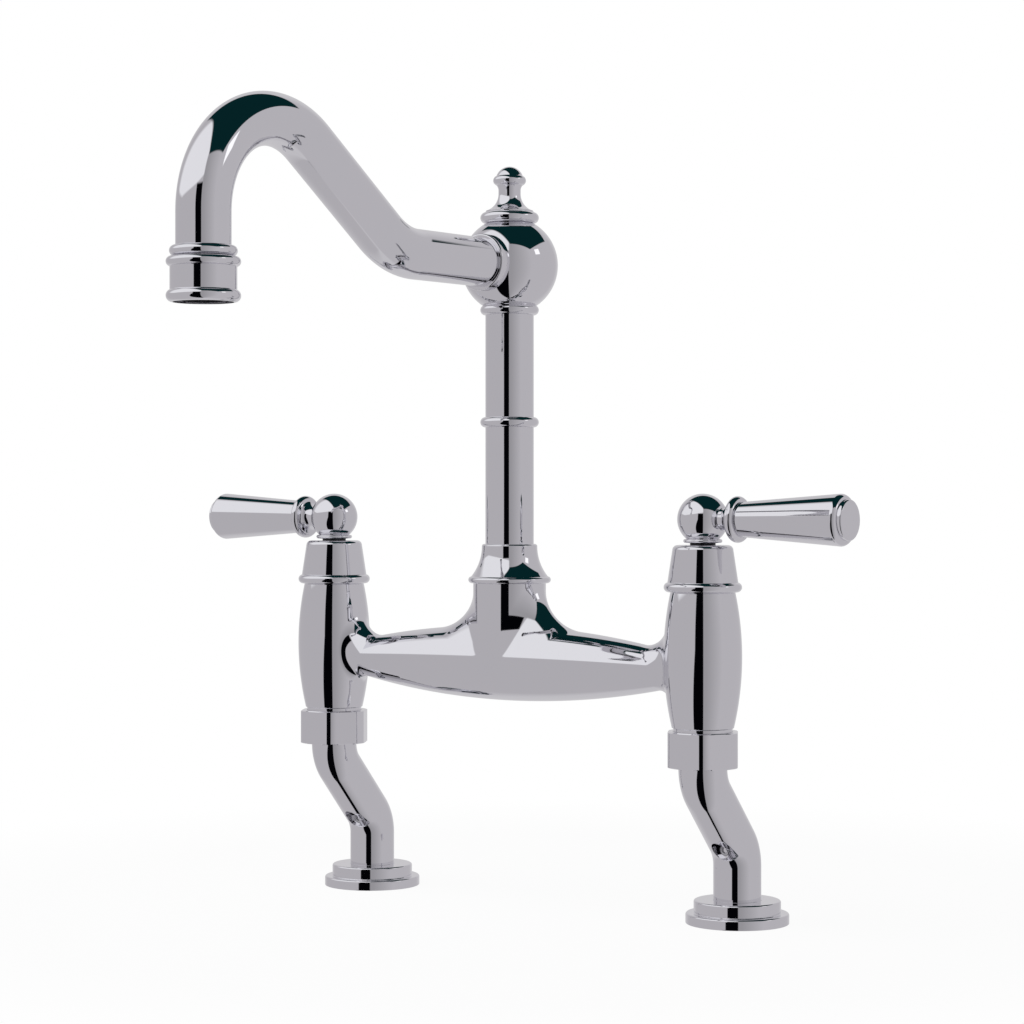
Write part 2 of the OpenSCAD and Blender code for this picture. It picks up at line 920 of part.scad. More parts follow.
module finial() {
    color(chrome)
        on_column()
            rotate_extrude()
                difference() {
                    union() {
                        bead_2d(finial_bead_r, finial_bead_h, finial_z);
                        difference() {
                            translate([0, finial_z + finial_bead_h / 2])
                                square([finial_neck_r + finial_flare_r,
                                    finial_flare_z - finial_z - finial_bead_h / 2]);
                            translate([finial_neck_r + finial_flare_r, finial_flare_z])
                                circle(finial_flare_r);
                            translate([finial_bead_r - finial_bead_h / 2, finial_z])
                                square([finial_bead_h, finial_bead_h + finial_flare_r]);
                        }
                        translate([0, finial_flare_z])
                            square([finial_neck_r, finial_neck_h]);
                        difference() {
                            translate([0, finial_neck_top])
                                square([finial_ring_r - finial_ring_h / 4, finial_ring_z - finial_neck_top]);
                            translate([finial_neck_r + finial_cove_r, finial_neck_top])
                                circle(finial_cove_r);
                        }
                        bead_2d(finial_ring_r, finial_ring_h, finial_ring_z - finial_ring_h / 2);
                        intersection() {
                            translate([0, finial_ring_z])
                                circle(finial_knob_r);
                            translate([0, finial_ring_z])
                                square([finial_knob_r, finial_knob_r]);
                        }
                    }
                    translate([0, ball_z])
                        circle(ball_r);
                    translate([0, finial_z - over])
                        square([stud_r, finial_stud_top - finial_z + over]);
                }
}

module finial_stud() {
    color(brass)
        on_column()
            translate([0, 0, finial_stud_low])
                cylinder(r = stud_r, h = finial_stud_top - finial_stud_low);
}

// Carries a pipe along the spout, from the ball to the mouth
module spout_path(start, end, r, r_in) {
    translate([start, 0, 0])
        rotate([0, 90, 0])
            pipe(r, r_in, spout_run - start + lap);
    translate([spout_run, low_bend_r, 0])
        bend(low_bend_r, rise_angle, 270, r, r_in);
    translate([bend_u, bend_v, 0])
        rotate([0, 90, rise_angle])
            translate([0, 0, -lap])
                pipe(r, r_in, slant + 2 * lap);
    translate([spout_reach - arch_r, arch_v, 0])
        bend(arch_r, 90 + rise_angle, 0, r, r_in);
    translate([spout_reach, arch_v + lap, 0])
        rotate([90, 0, 0])
            pipe(r, r_in, arch_v - end + lap);
}

module spout_tube() {
    color(chrome)
        spout_plane()
            spout_path(socket_in, tube_end - ball_z, tube_r, tube_in);
}

module on_mouth() {
    translate([0, -set_back - spout_reach, 0])
        children();
}

module outlet_collar() {
    color(chrome)
        on_mouth()
            rotate_extrude()
                difference() {
                    union() {
                        bead_2d(mouth_bead_r, mouth_foot_h, mouth_z);
                        translate([0, mouth_z + mouth_foot_h / 2])
                            square([mouth_band_r, mouth_band_h + mouth_foot_h / 2 + mouth_mid_h / 2]);
                        bead_2d(mouth_bead_r, mouth_mid_h, mid_z);
                        bead_2d(mouth_top_r, mouth_top_h, top_z);
                    }
                    translate([0, mouth_z - over])
                        square([mouth_r, tube_end - mouth_z + over]);
                    translate([0, mouth_z])
                        square([tube_r, collar_top - mouth_z + over]);
                }
}

module aerator_washer() {
    color(rubber)
        on_mouth()
            translate([0, 0, air_top])
                ring(mouth_r, air_in, air_washer_h);
}

module aerator_body() {
    color(dark)
        on_mouth()
            difference() {
                translate([0, 0, air_low])
                    cylinder(r = mouth_r, h = air_top - air_low);
                translate([0, 0, air_low - over])
                    cylinder(r = air_in - over, h = air_top - air_low + 2 * over);
                translate([0, 0, air_step])
                    cylinder(r = air_in, h = air_top - air_step + over);
            }
}

module aerator_mesh() {
    color(steel)
        on_mouth()
            translate([0, 0, air_step])
                linear_extrude(mesh_h)
                    difference() {
                        circle(air_in);
                        for (i = [0 : mesh_count - 1], j = [0 : mesh_count - 1]) {
                            x = (i - (mesh_count - 1) / 2) * mesh_pitch;
                            y = (j - (mesh_count - 1) / 2) * mesh_pitch;
                            if (sqrt(x * x + y * y) < air_in - mesh_pitch)
                                translate([x, y])
                                    square(mesh_hole, center = true);
                        }
                    }
}

function tail_seal_z(share) = tail_low + (tail_step - tail_low) * share;

module spout_tail() {
    color(brass)
        on_column()
            rotate_extrude()
                difference() {
                    union() {
                        translate([0, tail_low])
                            square([tail_r, tail_step - tail_low]);
                        translate([0, tail_low])
                            square([tube_r, tail_top - tail_low]);
                        translate([0, tail_low])
                            square([spigot_r, tail_top - tail_low + spigot_h]);
                    }
                    translate([0, tail_low - over])
                        square([tail_bore_r, tail_top - tail_low + spigot_h + 2 * over]);
                    for (share = tail_seal_share)
                        translate([tail_groove_r, tail_seal_z(share) - tail_groove_w / 2])
                            square([tube_r, tail_groove_w]);
                    translate([keeper_groove_r, keeper_z])
                        square([tube_r, keeper_h]);
                }
}

module tail_seals() {
    color(rubber)
        on_column()
            for (share = tail_seal_share)
                translate([0, 0, tail_seal_z(share)])
                    seal(tail_groove_r + seal_gap + tail_seal_r, tail_seal_r);
}

module spout_keeper() {
    color(steel)
        on_column()
            translate([0, 0, keeper_z])
                ring(keeper_r, keeper_groove_r, keeper_h);
}

// Levers, built along +X from the spindle's axis

module hub(side) {
    color(chrome)
        to_side(side)
            difference() {
                union() {
                    translate([0, 0, hub_z])
                        sphere(hub_r);
                    rotate_extrude()
                        bead_2d(hub_base_r, hub_base_h, hub_low);
                }
                translate([0, 0, hub_low - hub_r])
                    cylinder(r = hub_r, h = hub_r);
                translate([0, 0, hub_low - over])
                    cylinder(r = spline_r, h = spline_top - hub_low + over);
                translate([stud_in, 0, hub_z])
                    rotate([0, 90, 0])
                        cylinder(r = stud_r, h = hub_r);
                translate([0, grub_in, hub_z - 3 * over])
                    rotate([-90, 0, 0])
                        cylinder(r = grub_r, h = hub_r);
            }
}

module lever_turned(side) {
    to_side(side)
        translate([0, 0, hub_z])
            rotate([0, 90, 0])
                rotate_extrude()
                    children();
}

module neck(side) {
    color(chrome)
        lever_turned(side)
            difference() {
                union() {
                    square([neck_r, flare_end + ring_w / 2]);
                    difference() {
                        translate([0, neck_x])
                            square([neck_out_r, neck_flare_x]);
                        translate([neck_r + neck_flare_r, neck_x])
                            circle(neck_flare_r);
                    }
                    bead_2d(ring_r, ring_w, flare_end);
                }
                circle(hub_r);
                square([stud_r, grip_x + over]);
            }
}

module grip(side) {
    color(chrome)
        lever_turned(side)
            difference() {
                union() {
                    polygon([[0, grip_x],
                        [grip_in_r, grip_x],
                        [grip_out_r, grip_end - grip_round],
                        [0, grip_end - grip_round]]);
                    step_2d(grip_out_r, 2 * grip_round, grip_end - 2 * grip_round, grip_round);
                }
                translate([0, grip_x - over])
                    square([stud_r, grip_end]);
                translate([0, grip_bore_x])
                    square([grip_bore_r, grip_end]);
            }
}

module button(side) {
    color(chrome)
        lever_turned(side) {
            step_2d(button_r, button_h, grip_end, button_round);
            translate([0, grip_end - plug_len])
                square([grip_bore_r, plug_len + button_h / 2]);
        }
}

module stud(side) {
    color(steel)
        to_side(side)
            translate([stud_in, 0, hub_z])
                rotate([0, 90, 0])
                    cylinder(r = stud_r, h = grip_bore_x - stud_in);
}

module grub(side) {
    color(steel)
        to_side(side)
            translate([0, grub_in, hub_z - 3 * over])
                rotate([-90, 0, 0])
                    difference() {
                        cylinder(r = grub_r, h = hub_r * grub_out_share - grub_in);
                        translate([0, 0, (hub_r * grub_out_share - grub_in) / 2])
                            cylinder(r = grub_r / 2, h = hub_r, $fn = 6);
                    }
}

function seal_z(share) = cavity_top + (cart_top - cavity_top) * share;

module spindle(side) {
    color(dark)
        on_valve(side)
            difference() {
                union() {
                    translate([0, 0, disc_top])
                        cylinder(r = spindle_r, h = hub_low - disc_top);
                    translate([0, 0, cavity_top - end_gap - stop_h])
                        cylinder(r = stop_r, h = stop_h);
                    translate([0, 0, disc_top])
                        cylinder(r = spline_r, h = spline_top - disc_top - end_gap);
                    translate([0, 0, disc_top])
                        cube([key_len_share * disc_r, key_w, 2 * key_h], center = true);
                }
                for (share = seal_z_share)
                    translate([0, 0, seal_z(share) - groove_w / 2])
                        ring(spindle_r + over, groove_r, groove_w);
                translate([0, 0, clip_z])
                    ring(clip_r, groove_r, clip_h);
            }
}

module spindle_seals(side) {
    color(rubber)
        on_valve(side)
            for (share = seal_z_share)
                translate([0, 0, seal_z(share)])
                    seal(groove_r + seal_gap + ring_seal_r, ring_seal_r);
}

module spindle_clip(side) {
    color(steel)
        on_valve(side)
            translate([0, 0, clip_z])
                ring(clip_r, groove_r, clip_h);
}

module moving_disc(side) {
    color(ceramic)
        on_valve(side)
            translate([0, 0, disc_top - disc_h])
                difference() {
                    cylinder(r = disc_r - run_gap, h = disc_h);
                    ports(disc_h);
                    translate([0, 0, disc_h])
                        cube([key_len_share * disc_r, key_w, 2 * key_h], center = true);
                }
}

bridge_body();
swivel_ferrule();
swivel_bush();
cover(-1);  // left_cover
cover(1);  // right_cover
cartridge(-1);  // left_cartridge
cartridge(1);  // right_cartridge
fixed_disc(-1);  // left_fixed_disc
fixed_disc(1);  // right_fixed_disc
cartridge_seals();
union_nut(-1);  // left_union_nut
union_nut(1);  // right_union_nut
union_washers();
leg(-1);  // left_leg
leg(1);  // right_leg
clamp_screws();
foot(-1);  // left_foot
foot(1);  // right_foot
foot_gaskets();
column_tube();
column_bead();
ball_bead();
ball_hub();
socket_collar();
finial();
finial_stud();
spout_tube();
outlet_collar();
aerator_washer();
aerator_body();
aerator_mesh();
spout_tail();
tail_seals();
spout_keeper();
hub(-1);  // left_hub
neck(-1);  // left_neck
grip(-1);  // left_grip
button(-1);  // left_button
stud(-1);  // left_stud
grub(-1);  // left_grub
spindle(-1);  // left_spindle
spindle_seals(-1);  // left_spindle_seals
spindle_clip(-1);  // left_spindle_clip
moving_disc(-1);  // left_moving_disc
hub(1);  // right_hub
neck(1);  // right_neck
grip(1);  // right_grip
button(1);  // right_button
stud(1);  // right_stud
grub(1);  // right_grub
spindle(1);  // right_spindle
spindle_seals(1);  // right_spindle_seals
spindle_clip(1);  // right_spindle_clip
moving_disc(1);  // right_moving_disc
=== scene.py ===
# %% [markdown]
# This script dresses a bridge kitchen faucet: a bar between two valves, each on a crank-shaped leg,
# two lever handles, and a column with a ball that carries a high swivel spout. Every outer piece is
# polished chrome, so the look comes from clean curves and from what stands around the faucet.
# The solids of the construction model come in as a fixed frame. Each outer piece made here takes
# the place of one of them, with finer curves and round edges, and the inner solids stay. The
# faucet's sizes are in millimetres, and those of camera, floor and lamp in metres.

# %% Load the construction model
import json
import math

import bmesh
import bpy
import numpy as np
from mathutils import Matrix, Vector
from mathutils.bvhtree import BVHTree


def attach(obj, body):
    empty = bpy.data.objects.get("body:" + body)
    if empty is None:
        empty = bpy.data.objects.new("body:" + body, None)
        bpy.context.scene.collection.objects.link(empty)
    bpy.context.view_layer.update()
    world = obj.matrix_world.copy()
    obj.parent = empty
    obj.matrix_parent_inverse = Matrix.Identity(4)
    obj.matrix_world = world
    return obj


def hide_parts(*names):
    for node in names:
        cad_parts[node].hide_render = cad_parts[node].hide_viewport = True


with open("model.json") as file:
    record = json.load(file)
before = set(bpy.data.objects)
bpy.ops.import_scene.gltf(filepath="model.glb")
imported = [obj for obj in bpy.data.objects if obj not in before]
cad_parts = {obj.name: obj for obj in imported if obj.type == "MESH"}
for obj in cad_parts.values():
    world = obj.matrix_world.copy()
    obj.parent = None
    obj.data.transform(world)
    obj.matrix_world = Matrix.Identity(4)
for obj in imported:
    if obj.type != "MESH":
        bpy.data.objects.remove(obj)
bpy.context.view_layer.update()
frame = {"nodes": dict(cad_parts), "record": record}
MM = 0.001

# %% [markdown]
# The camera stands to the right in front of the faucet, a little over the middle of its height,
# and looks level, which keeps upright lines upright. The long lens keeps the perspective mild, and
# a small vertical shift frames the object as a product picture does, without tilting the camera.


# %% Camera
def put_in_scene(thing):
    """Links an object to the scene."""
    bpy.context.scene.collection.objects.link(thing)
    return thing


CAMERA_TURN = 35.2
camera_data = bpy.data.cameras.new("photo_camera")
camera_data.lens = 94.2
camera_data.sensor_width = 36
camera_data.shift_y = -0.0177
camera = put_in_scene(bpy.data.objects.new("photo_camera", camera_data))
camera.location = (0.6978, -1.0164, 0.188)
camera.rotation_euler = (math.radians(90), 0, math.radians(CAMERA_TURN))
bpy.context.scene.camera = camera
bpy.context.scene.view_settings.view_transform = "Standard"
print("camera at", [round(c, 3) for c in camera.location])

# %% [markdown]
# Materials and node-built pieces need many small sums. A class that wraps a socket lets these be
# written as ordinary Python sums, and one method adds any other node, from the values or links of
# its inputs and from its settings. Both work in shader trees and in Geometry Nodes trees alike.


# %% Nodes written as Python
class Wire:
    """A node's output that can be used in a sum."""

    def __init__(self, graph, socket):
        self.graph, self.socket = graph, socket

    def out(self, name):
        return Wire(self.graph, self.socket.node.outputs[name])

    def sum(self, operation, first, second=0.0):
        return self.graph.node("ShaderNodeMath", {0: first, 1: second}, operation=operation)

    def __add__(self, other):
        return self.sum("ADD", self, other)

    __radd__ = __add__

    def __sub__(self, other):
        return self.sum("SUBTRACT", self, other)

    def __rsub__(self, other):
        return self.sum("SUBTRACT", other, self)

    def __mul__(self, other):
        return self.sum("MULTIPLY", self, other)

    __rmul__ = __mul__

    def __truediv__(self, other):
        return self.sum("DIVIDE", self, other)

    def __rtruediv__(self, other):
        return self.sum("DIVIDE", other, self)

    def least(self, other):
        return self.sum("MINIMUM", self, other)

    def most(self, other):
        return self.sum("MAXIMUM", self, other)

    def between(self, low=0.0, high=1.0):
        return self.most(low).least(high)


class Graph:
    """A node tree to which one call adds one node."""

    def __init__(self, tree):
        self.tree = tree

    def node(self, kind, values=None, out=0, **settings):
        made = self.tree.nodes.new(kind)
        for name, value in settings.items():
            setattr(made, name, value)
        for key, value in (values or {}).items():
            if isinstance(value, Wire):
                self.tree.links.new(value.socket, made.inputs[key])
            else:
                made.inputs[key].default_value = value
        return Wire(self, made.outputs[out])

    def vector(self, x=0.0, y=0.0, z=0.0):
        return self.node("ShaderNodeCombineXYZ", {0: x, 1: y, 2: z})

    def position(self):
        """The three parts of a point's place."""
        place = self.node("ShaderNodeSeparateXYZ", {0: self.node("GeometryNodeInputPosition")})
        return [place.out(axis) for axis in "XYZ"]

    def close(self, kind, last):
        """Adds the output node and joins the last wire to its first socket."""
        self.tree.links.new(last.socket, self.tree.nodes.new(kind).inputs[0])


# %% [markdown]
# Polished chrome is a thin bright layer on brass, nearly a mirror, with a cool tint. A mirror that
# is perfect everywhere looks computed, so the roughness drifts a little, as on a wiped surface, the
# tint wanders by a hair, and a very shallow wave stands for the hand polishing. All of it is read
# from Object coordinates, so it stays on the metal from every side and at every scale.


# %% Polished chrome
def new_material(name):
    material = bpy.data.materials.new(name)
    material.use_nodes = True
    material.node_tree.nodes.clear()
    return material, Graph(material.node_tree)


def cloud(graph, where, scale, detail=3.0, rough=0.55):
    values = {"Vector": where, "Scale": scale, "Detail": detail, "Roughness": rough}
    return graph.node("ShaderNodeTexNoise", values, noise_dimensions="3D")


def mix_colour(graph, amount, first, second):
    values = {0: amount, 6: first, 7: second}
    return graph.node("ShaderNodeMix", values, 2, data_type="RGBA", clamp_factor=True)


def surface(graph, values, bump, strength, distance):
    """Ends a material in one shader, with a bump on it."""
    wave = {"Strength": strength, "Distance": distance, "Height": bump}
    values["Normal"] = graph.node("ShaderNodeBump", wave)
    graph.close("ShaderNodeOutputMaterial", graph.node("ShaderNodeBsdfPrincipled", values))


def polished_chrome(name, light, deep, smooth, wiped):
    material, graph = new_material(name)
    where = graph.node("ShaderNodeTexCoord", out="Object")
    wipe = cloud(graph, where, 38.0)
    film = cloud(graph, where, 210.0, 4.0)
    marks = ((wipe - 0.5) * 1.6 + (film - 0.5) * 0.6 + 0.4).between()
    surface(
        graph,
        {
            "Base Color": mix_colour(graph, wipe, light, deep),
            "Roughness": marks * (wiped - smooth) + smooth,
            "Metallic": 1.0,
        },
        cloud(graph, where, 22.0, 1.0),
        0.05,
        0.0002,
    )
    return material


chrome = polished_chrome(
    "polished_chrome", (0.80, 0.79, 0.825, 1), (0.785, 0.785, 0.82, 1), 0.025, 0.05
)
print("made", chrome.name)

# %% [markdown]
# The inner pieces hardly show, yet each has the finish of its real material: turned brass with fine
# rings from the lathe, steel, lapped ceramic, rubber with a dull grain, milky bearing plastic, and
# the blackened brass of the spindle and the aerator's cup.


# %% Inner finishes
def turned_metal(name, light, deep, pitch, smooth, rough):
    material, graph = new_material(name)
    where = graph.node("ShaderNodeTexCoord", out="Object")
    rings = graph.node(
        "ShaderNodeTexWave",
        {"Vector": where, "Scale": pitch, "Distortion": 1.5, "Detail": 2.0},
        "Fac",
        wave_type="BANDS",
        bands_direction="Z",
    )
    stain = cloud(graph, where, 90.0)
    surface(
        graph,
        {
            "Base Color": mix_colour(graph, (stain - 0.3) * 1.6, light, deep),
            "Roughness": rings * (rough - smooth) + smooth,
            "Metallic": 1.0,
        },
        rings,
        0.15,
        0.0001,
    )
    return material


def moulded(name, light, deep, grain, rough, coat=0.0):
    material, graph = new_material(name)
    where = graph.node("ShaderNodeTexCoord", out="Object")
    speck = cloud(graph, where, grain, 5.0, 0.65)
    drift = cloud(graph, where, 70.0)
    surface(
        graph,
        {
            "Base Color": mix_colour(graph, (speck * 0.5 + drift * 0.5 - 0.3) * 2.0, light, deep),
            "Roughness": speck * 0.15 + rough,
            "Coat Weight": coat,
        },
        speck,
        0.2,
        0.0001,
    )
    return material


finishes = {
    "chrome": chrome,
    "brass": turned_metal(
        "turned_brass", (0.83, 0.66, 0.36, 1), (0.66, 0.49, 0.24, 1), 900.0, 0.2, 0.38
    ),
    "steel": turned_metal(
        "plain_steel", (0.64, 0.64, 0.66, 1), (0.52, 0.53, 0.56, 1), 1400.0, 0.22, 0.4
    ),
    "ceramic": moulded(
        "lapped_ceramic", (0.93, 0.92, 0.89, 1), (0.84, 0.83, 0.80, 1), 900.0, 0.12, 0.3
    ),
    "rubber": moulded(
        "seal_rubber", (0.045, 0.045, 0.047, 1), (0.02, 0.02, 0.022, 1), 1500.0, 0.55
    ),
    "plastic": moulded(
        "bearing_plastic", (0.88, 0.88, 0.84, 1), (0.80, 0.80, 0.75, 1), 700.0, 0.42
    ),
    "dark": turned_metal(
        "blackened_brass", (0.055, 0.055, 0.06, 1), (0.03, 0.03, 0.034, 1), 1100.0, 0.3, 0.5
    ),
}
for part in frame["record"]["subparts"]:
    for place in frame["nodes"][part["node"]].material_slots:
        place.material = finishes[part["material_slot"]]
print("finishes:", ", ".join(finishes))

# %% [markdown]
# Most pieces of a faucet come off a lathe, so they are drawn as a half profile, radius and height,
# and turned. Mirror metal shows every flaw in the shading, and a sharp edge on it would look like
# paper. So each corner of a profile gets a small round, a guard point beside the round keeps long
# faces flat, and the corner normals are worked out from the profile itself. The curves get no guard
# points, because these would turn each step of a curve into a facet.


# %% Drawing and turning a profile
def bow(middle, radius, start, end, step=4.0):
    """Points on an arc of a profile, with angles in degrees."""
    count = max(2, int(abs(end - start) / step) + 1)
    turn = np.radians(np.linspace(start, end, count + 1))
    return [(middle[0] + radius * math.cos(a), middle[1] + radius * math.sin(a)) for a in turn]


def soften(points, radius=0.3, steps=5):
    """Rounds the corners of a profile."""
    points = [np.array(p, float) for p in points]
    done = [points[0]]
    for before, here, after in zip(points, points[1:], points[2:]):
        back, on = before - here, after - here
        back_length, on_length = np.hypot(*back), np.hypot(*on)
        if min(back_length, on_length) < 1e-6:
            continue
        back, on = back / back_length, on / on_length
        turned = math.pi - math.acos(max(-1.0, min(1.0, float(back @ on))))
        if turned < 0.3:
            done.append(here)
            continue
        reach = min(radius * math.tan(turned / 2), 0.45 * back_length, 0.45 * on_length)
        bend = reach / math.tan(turned / 2)
        middle = here + (back + on) / np.hypot(*(back + on)) * math.hypot(reach, bend)
        first, last = here + back * reach - middle, here + on * reach - middle
        sweep = math.atan2(first[0] * last[1] - first[1] * last[0], float(first @ last))
        for share in np.linspace(0, 1, steps + 1):
            c, s = math.cos(sweep * share), math.sin(sweep * share)
            swung = np.array([c * first[0] - s * first[1], s * first[0] + c * first[1]])
            done.append(middle + swung)
    done.append(points[-1])
    return done


def guard(points, near=0.03):
    """Adds a point close to the end of a stretch that is far longer than its neighbour there."""
    lengths = [0.0] + [np.hypot(*(b - a)) for a, b in zip(points, points[1:])] + [0.0]
    done = [points[0]]
    for k, (start, end) in enumerate(zip(points, points[1:]), 1):
        along = (end - start) / max(lengths[k], 1e-9)
        if lengths[k] > max(10 * near, 3 * lengths[k - 1]):
            done.append(start + along * near)
        if lengths[k] > max(10 * near, 3 * lengths[k + 1]):
            done.append(end - along * near)
        done.append(end)
    return done


def profile_normals(points):
    """Outward direction at both ends of each stretch of a profile."""
    steps = np.diff(points, axis=0)
    steps /= np.maximum(np.hypot(steps[:, 0], steps[:, 1])[:, None], 1e-12)
    own = np.stack([steps[:, 1], -steps[:, 0]], 1)
    at_start, at_end = own.copy(), own.copy()
    ring = np.allclose(points[0], points[-1])
    for k in range(len(own)):
        before = own[k - 1] if k or ring else own[k]
        if own[k] @ before > 0.75:
            shared = own[k] + before
            shared /= np.hypot(*shared)
            at_start[k] = shared
            if k or ring:
                at_end[k - 1] = shared
    return at_start, at_end


def turn_profile(points, angles):
    """Vertices, faces and corner normals of a turned profile."""
    points = np.array(points, float)
    at_start, at_end = profile_normals(points)
    cos, sin = np.cos(angles), np.sin(angles)
    count = len(angles)
    vertices, rings = [], []
    for r, z in points:
        if r < 1e-6:
            rings.append([len(vertices)] * count)
            vertices.append((0.0, 0.0, z))
        else:
            rings.append(list(range(len(vertices), len(vertices) + count)))
            vertices += [(r * c, r * s, z) for c, s in zip(cos, sin)]
    if np.allclose(points[0], points[-1]) and points[0][0] > 1e-6:
        vertices = vertices[:-count]
        rings[-1] = rings[0]
    faces, normals = [], []
    for k in range(len(points) - 1):
        low, high = at_start[k], at_end[k]
        for j in range(count):
            n = (j + 1) % count
            corners = [
                (rings[k][j], low, j),
                (rings[k][n], low, n),
                (rings[k + 1][n], high, n),
                (rings[k + 1][j], high, j),
            ]
            if rings[k][j] == rings[k][n]:
                corners.pop(1)
            elif rings[k + 1][j] == rings[k + 1][n]:
                corners.pop(3)
            faces.append([c[0] for c in corners])
            normals += [(v[0] * cos[a], v[0] * sin[a], v[1]) for _, v, a in corners]
    return np.array(vertices), faces, np.array(normals)


def round_angles(count):
    return np.linspace(0, 2 * math.pi, count, endpoint=False)


# %% [markdown]
# A finished piece is a plain mesh at the origin, with its place in its points. It rides on the body
# of the solid that it replaces, and takes its finish from that solid's material slot.

# %% Turning a mesh into a piece
bodies = frame["record"]["behaviour"]["bodies"]
body_of_node = {node: body for body, members in bodies.items() for node in members}
slot_of_node = {part["node"]: part["material_slot"] for part in frame["record"]["subparts"]}


def make_mesh(name, vertices, faces, normals=None):
    """A mesh in metres from points in millimetres."""
    mesh = bpy.data.meshes.new(name)
    mesh.from_pydata([tuple(v) for v in np.array(vertices) * MM], [], faces)
    mesh.shade_smooth()
    if normals is not None:
        mesh.normals_split_custom_set([tuple(n) for n in normals])
    return mesh


def place_piece(mesh, node):
    """Puts a mesh in the scene in place of a solid."""
    piece = put_in_scene(bpy.data.objects.new(node + "_finished", mesh))
    if not mesh.materials:
        mesh.materials.append(finishes[slot_of_node[node]])
    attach(piece, body_of_node[node])
    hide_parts(node)
    print(f"{piece.name}: {len(mesh.polygons)} faces")


def turned_piece(node, profile, place, count=144, round_edge=0.3):
    """A lathe-turned piece, put in place by a matrix in millimetres."""
    points = guard(soften(profile, round_edge))
    vertices, faces, normals = turn_profile(points, round_angles(count))
    turn = np.array(place.to_3x3())
    vertices = vertices @ turn.T + np.array(place.translation)
    normals = normals @ turn.T
    if np.linalg.det(turn) < 0:
        faces = [face[::-1] for face in faces]
        sizes = np.cumsum([0] + [len(face) for face in faces])
        normals = np.concatenate([normals[a:b][::-1] for a, b in zip(sizes, sizes[1:])])
    place_piece(make_mesh(node, vertices, faces, normals), node)


def upright(x, y):
    return Matrix.Translation((x, y, 0))


# %% [markdown]
# The main distances of the faucet: the tap holes lie 203.2 mm apart, and everything above the legs
# stands 29.1 mm in front of them, towards the user, who stands at minus Y.

# %% Main distances
VALVE_X = 101.6
AXIS_Y = -29.1
BAR_Z = 111.7
BOSS_TOP = 147.8
BARREL_TOP = 145.8
BARREL_LOW = 87.6
BALL_Z = 291.0
SPOUT_REACH = 206.0
MOUTH_Y = AXIS_Y - SPOUT_REACH
TUBE_R, LEG_R = 10.9, 10.5
SIDES = {"left": -1, "right": 1}

# %% [markdown]
# The bridge is one casting: a bar that swells towards its middle, two barrel-shaped valve bodies,
# and a boss that flares out of the bar like the foot of a tree. On the real thing all of this is
# ground and polished into one flowing skin. Loose meshes with modifiers would show their joints in
# the reflections. So the casting is described by one distance formula with rounded unions, and a
# net of quads is pulled onto the place where the formula is zero, with normals from its slope.
# Bar and barrels are each turned from one large arc. The hollow at the boss is what a ball leaves
# that rolls on bar and boss, and the one at the barrels grows from the bar's underside to its top.


# %% Distance formula of the casting
BAR_R, BAR_ARC_R, BOSS_R, BALL_R = 16.8, 417.0, 16.4, 24.0
BARREL_R, BARREL_ARC_R, BELLY_Z = 16.85, 134.0, 118.0
FILLET_R, FILLET_CHANGE, FILLET_SPAN = 8.5, 3.0, 12.0


def fillet_union(a, b, lean, radius):
    """Joins two distances with the hollow that a small ball leaves between the skins; lean is
    the cosine between the two directions in which the distances grow."""
    across, along = a - radius, b - radius
    touching = (across <= lean * along) & (along <= lean * across)
    square = across**2 + along**2 - 2 * lean * across * along
    hollow = radius - np.sqrt(np.maximum(square, 0) / (1 - lean * lean))
    return np.where(touching, hollow, np.minimum(a, b))


def to_bar(x, y, up):
    return np.hypot(x, np.hypot(y, up) + BAR_ARC_R - BAR_R) - BAR_ARC_R


def to_seam(x, y, up):
    """Distance from the line that the middle of a ball follows as it rolls on bar and boss."""

    def from_place(turn):
        along, out = (BOSS_R + BALL_R) * np.sin(turn), (BOSS_R + BALL_R) * np.cos(turn)
        round_bar = np.sqrt((BAR_ARC_R + BALL_R) ** 2 - along**2) - BAR_ARC_R + BAR_R
        height = np.sqrt(round_bar**2 - out**2)
        return np.sqrt((x - along) ** 2 + (y - out) ** 2 + (up - height) ** 2)

    turn, step = np.full(x.shape, math.pi / 4), math.pi / 8
    best = from_place(turn)
    for _ in range(18):
        for way in (-step, step):
            trial = np.clip(turn + way, 0, math.pi / 2)
            found = from_place(trial)
            turn, best = np.where(found < best, trial, turn), np.minimum(found, best)
        step *= 0.6
    return best


def rolled_body(x, y, up):
    """Bar and boss, with the hollow between them that the ball can't reach filled in."""
    x, y = np.abs(x), np.abs(y)
    bar, column = to_bar(x, y, up), np.maximum(np.hypot(x, y), 1e-9)
    boss = column - BOSS_R
    around_bar = np.maximum(np.hypot(y, up), 1e-9)
    reach = (BALL_R - bar) / (bar + BAR_ARC_R)
    sideways = y * (1 + reach * (around_bar + BAR_ARC_R - BAR_R) / around_bar)
    beside_boss = np.hypot(x * (1 + reach), sideways) - BOSS_R
    push = 1 + (BALL_R - boss) / column
    beside_bar = to_bar(x * push, y * push, up)
    body = np.where(up > 0, np.minimum(bar, boss), bar)
    rolled = (up > 0) & (beside_boss < BALL_R) & (beside_bar < BALL_R)
    body[rolled] = BALL_R - to_seam(x[rolled], y[rolled], up[rolled])
    return body


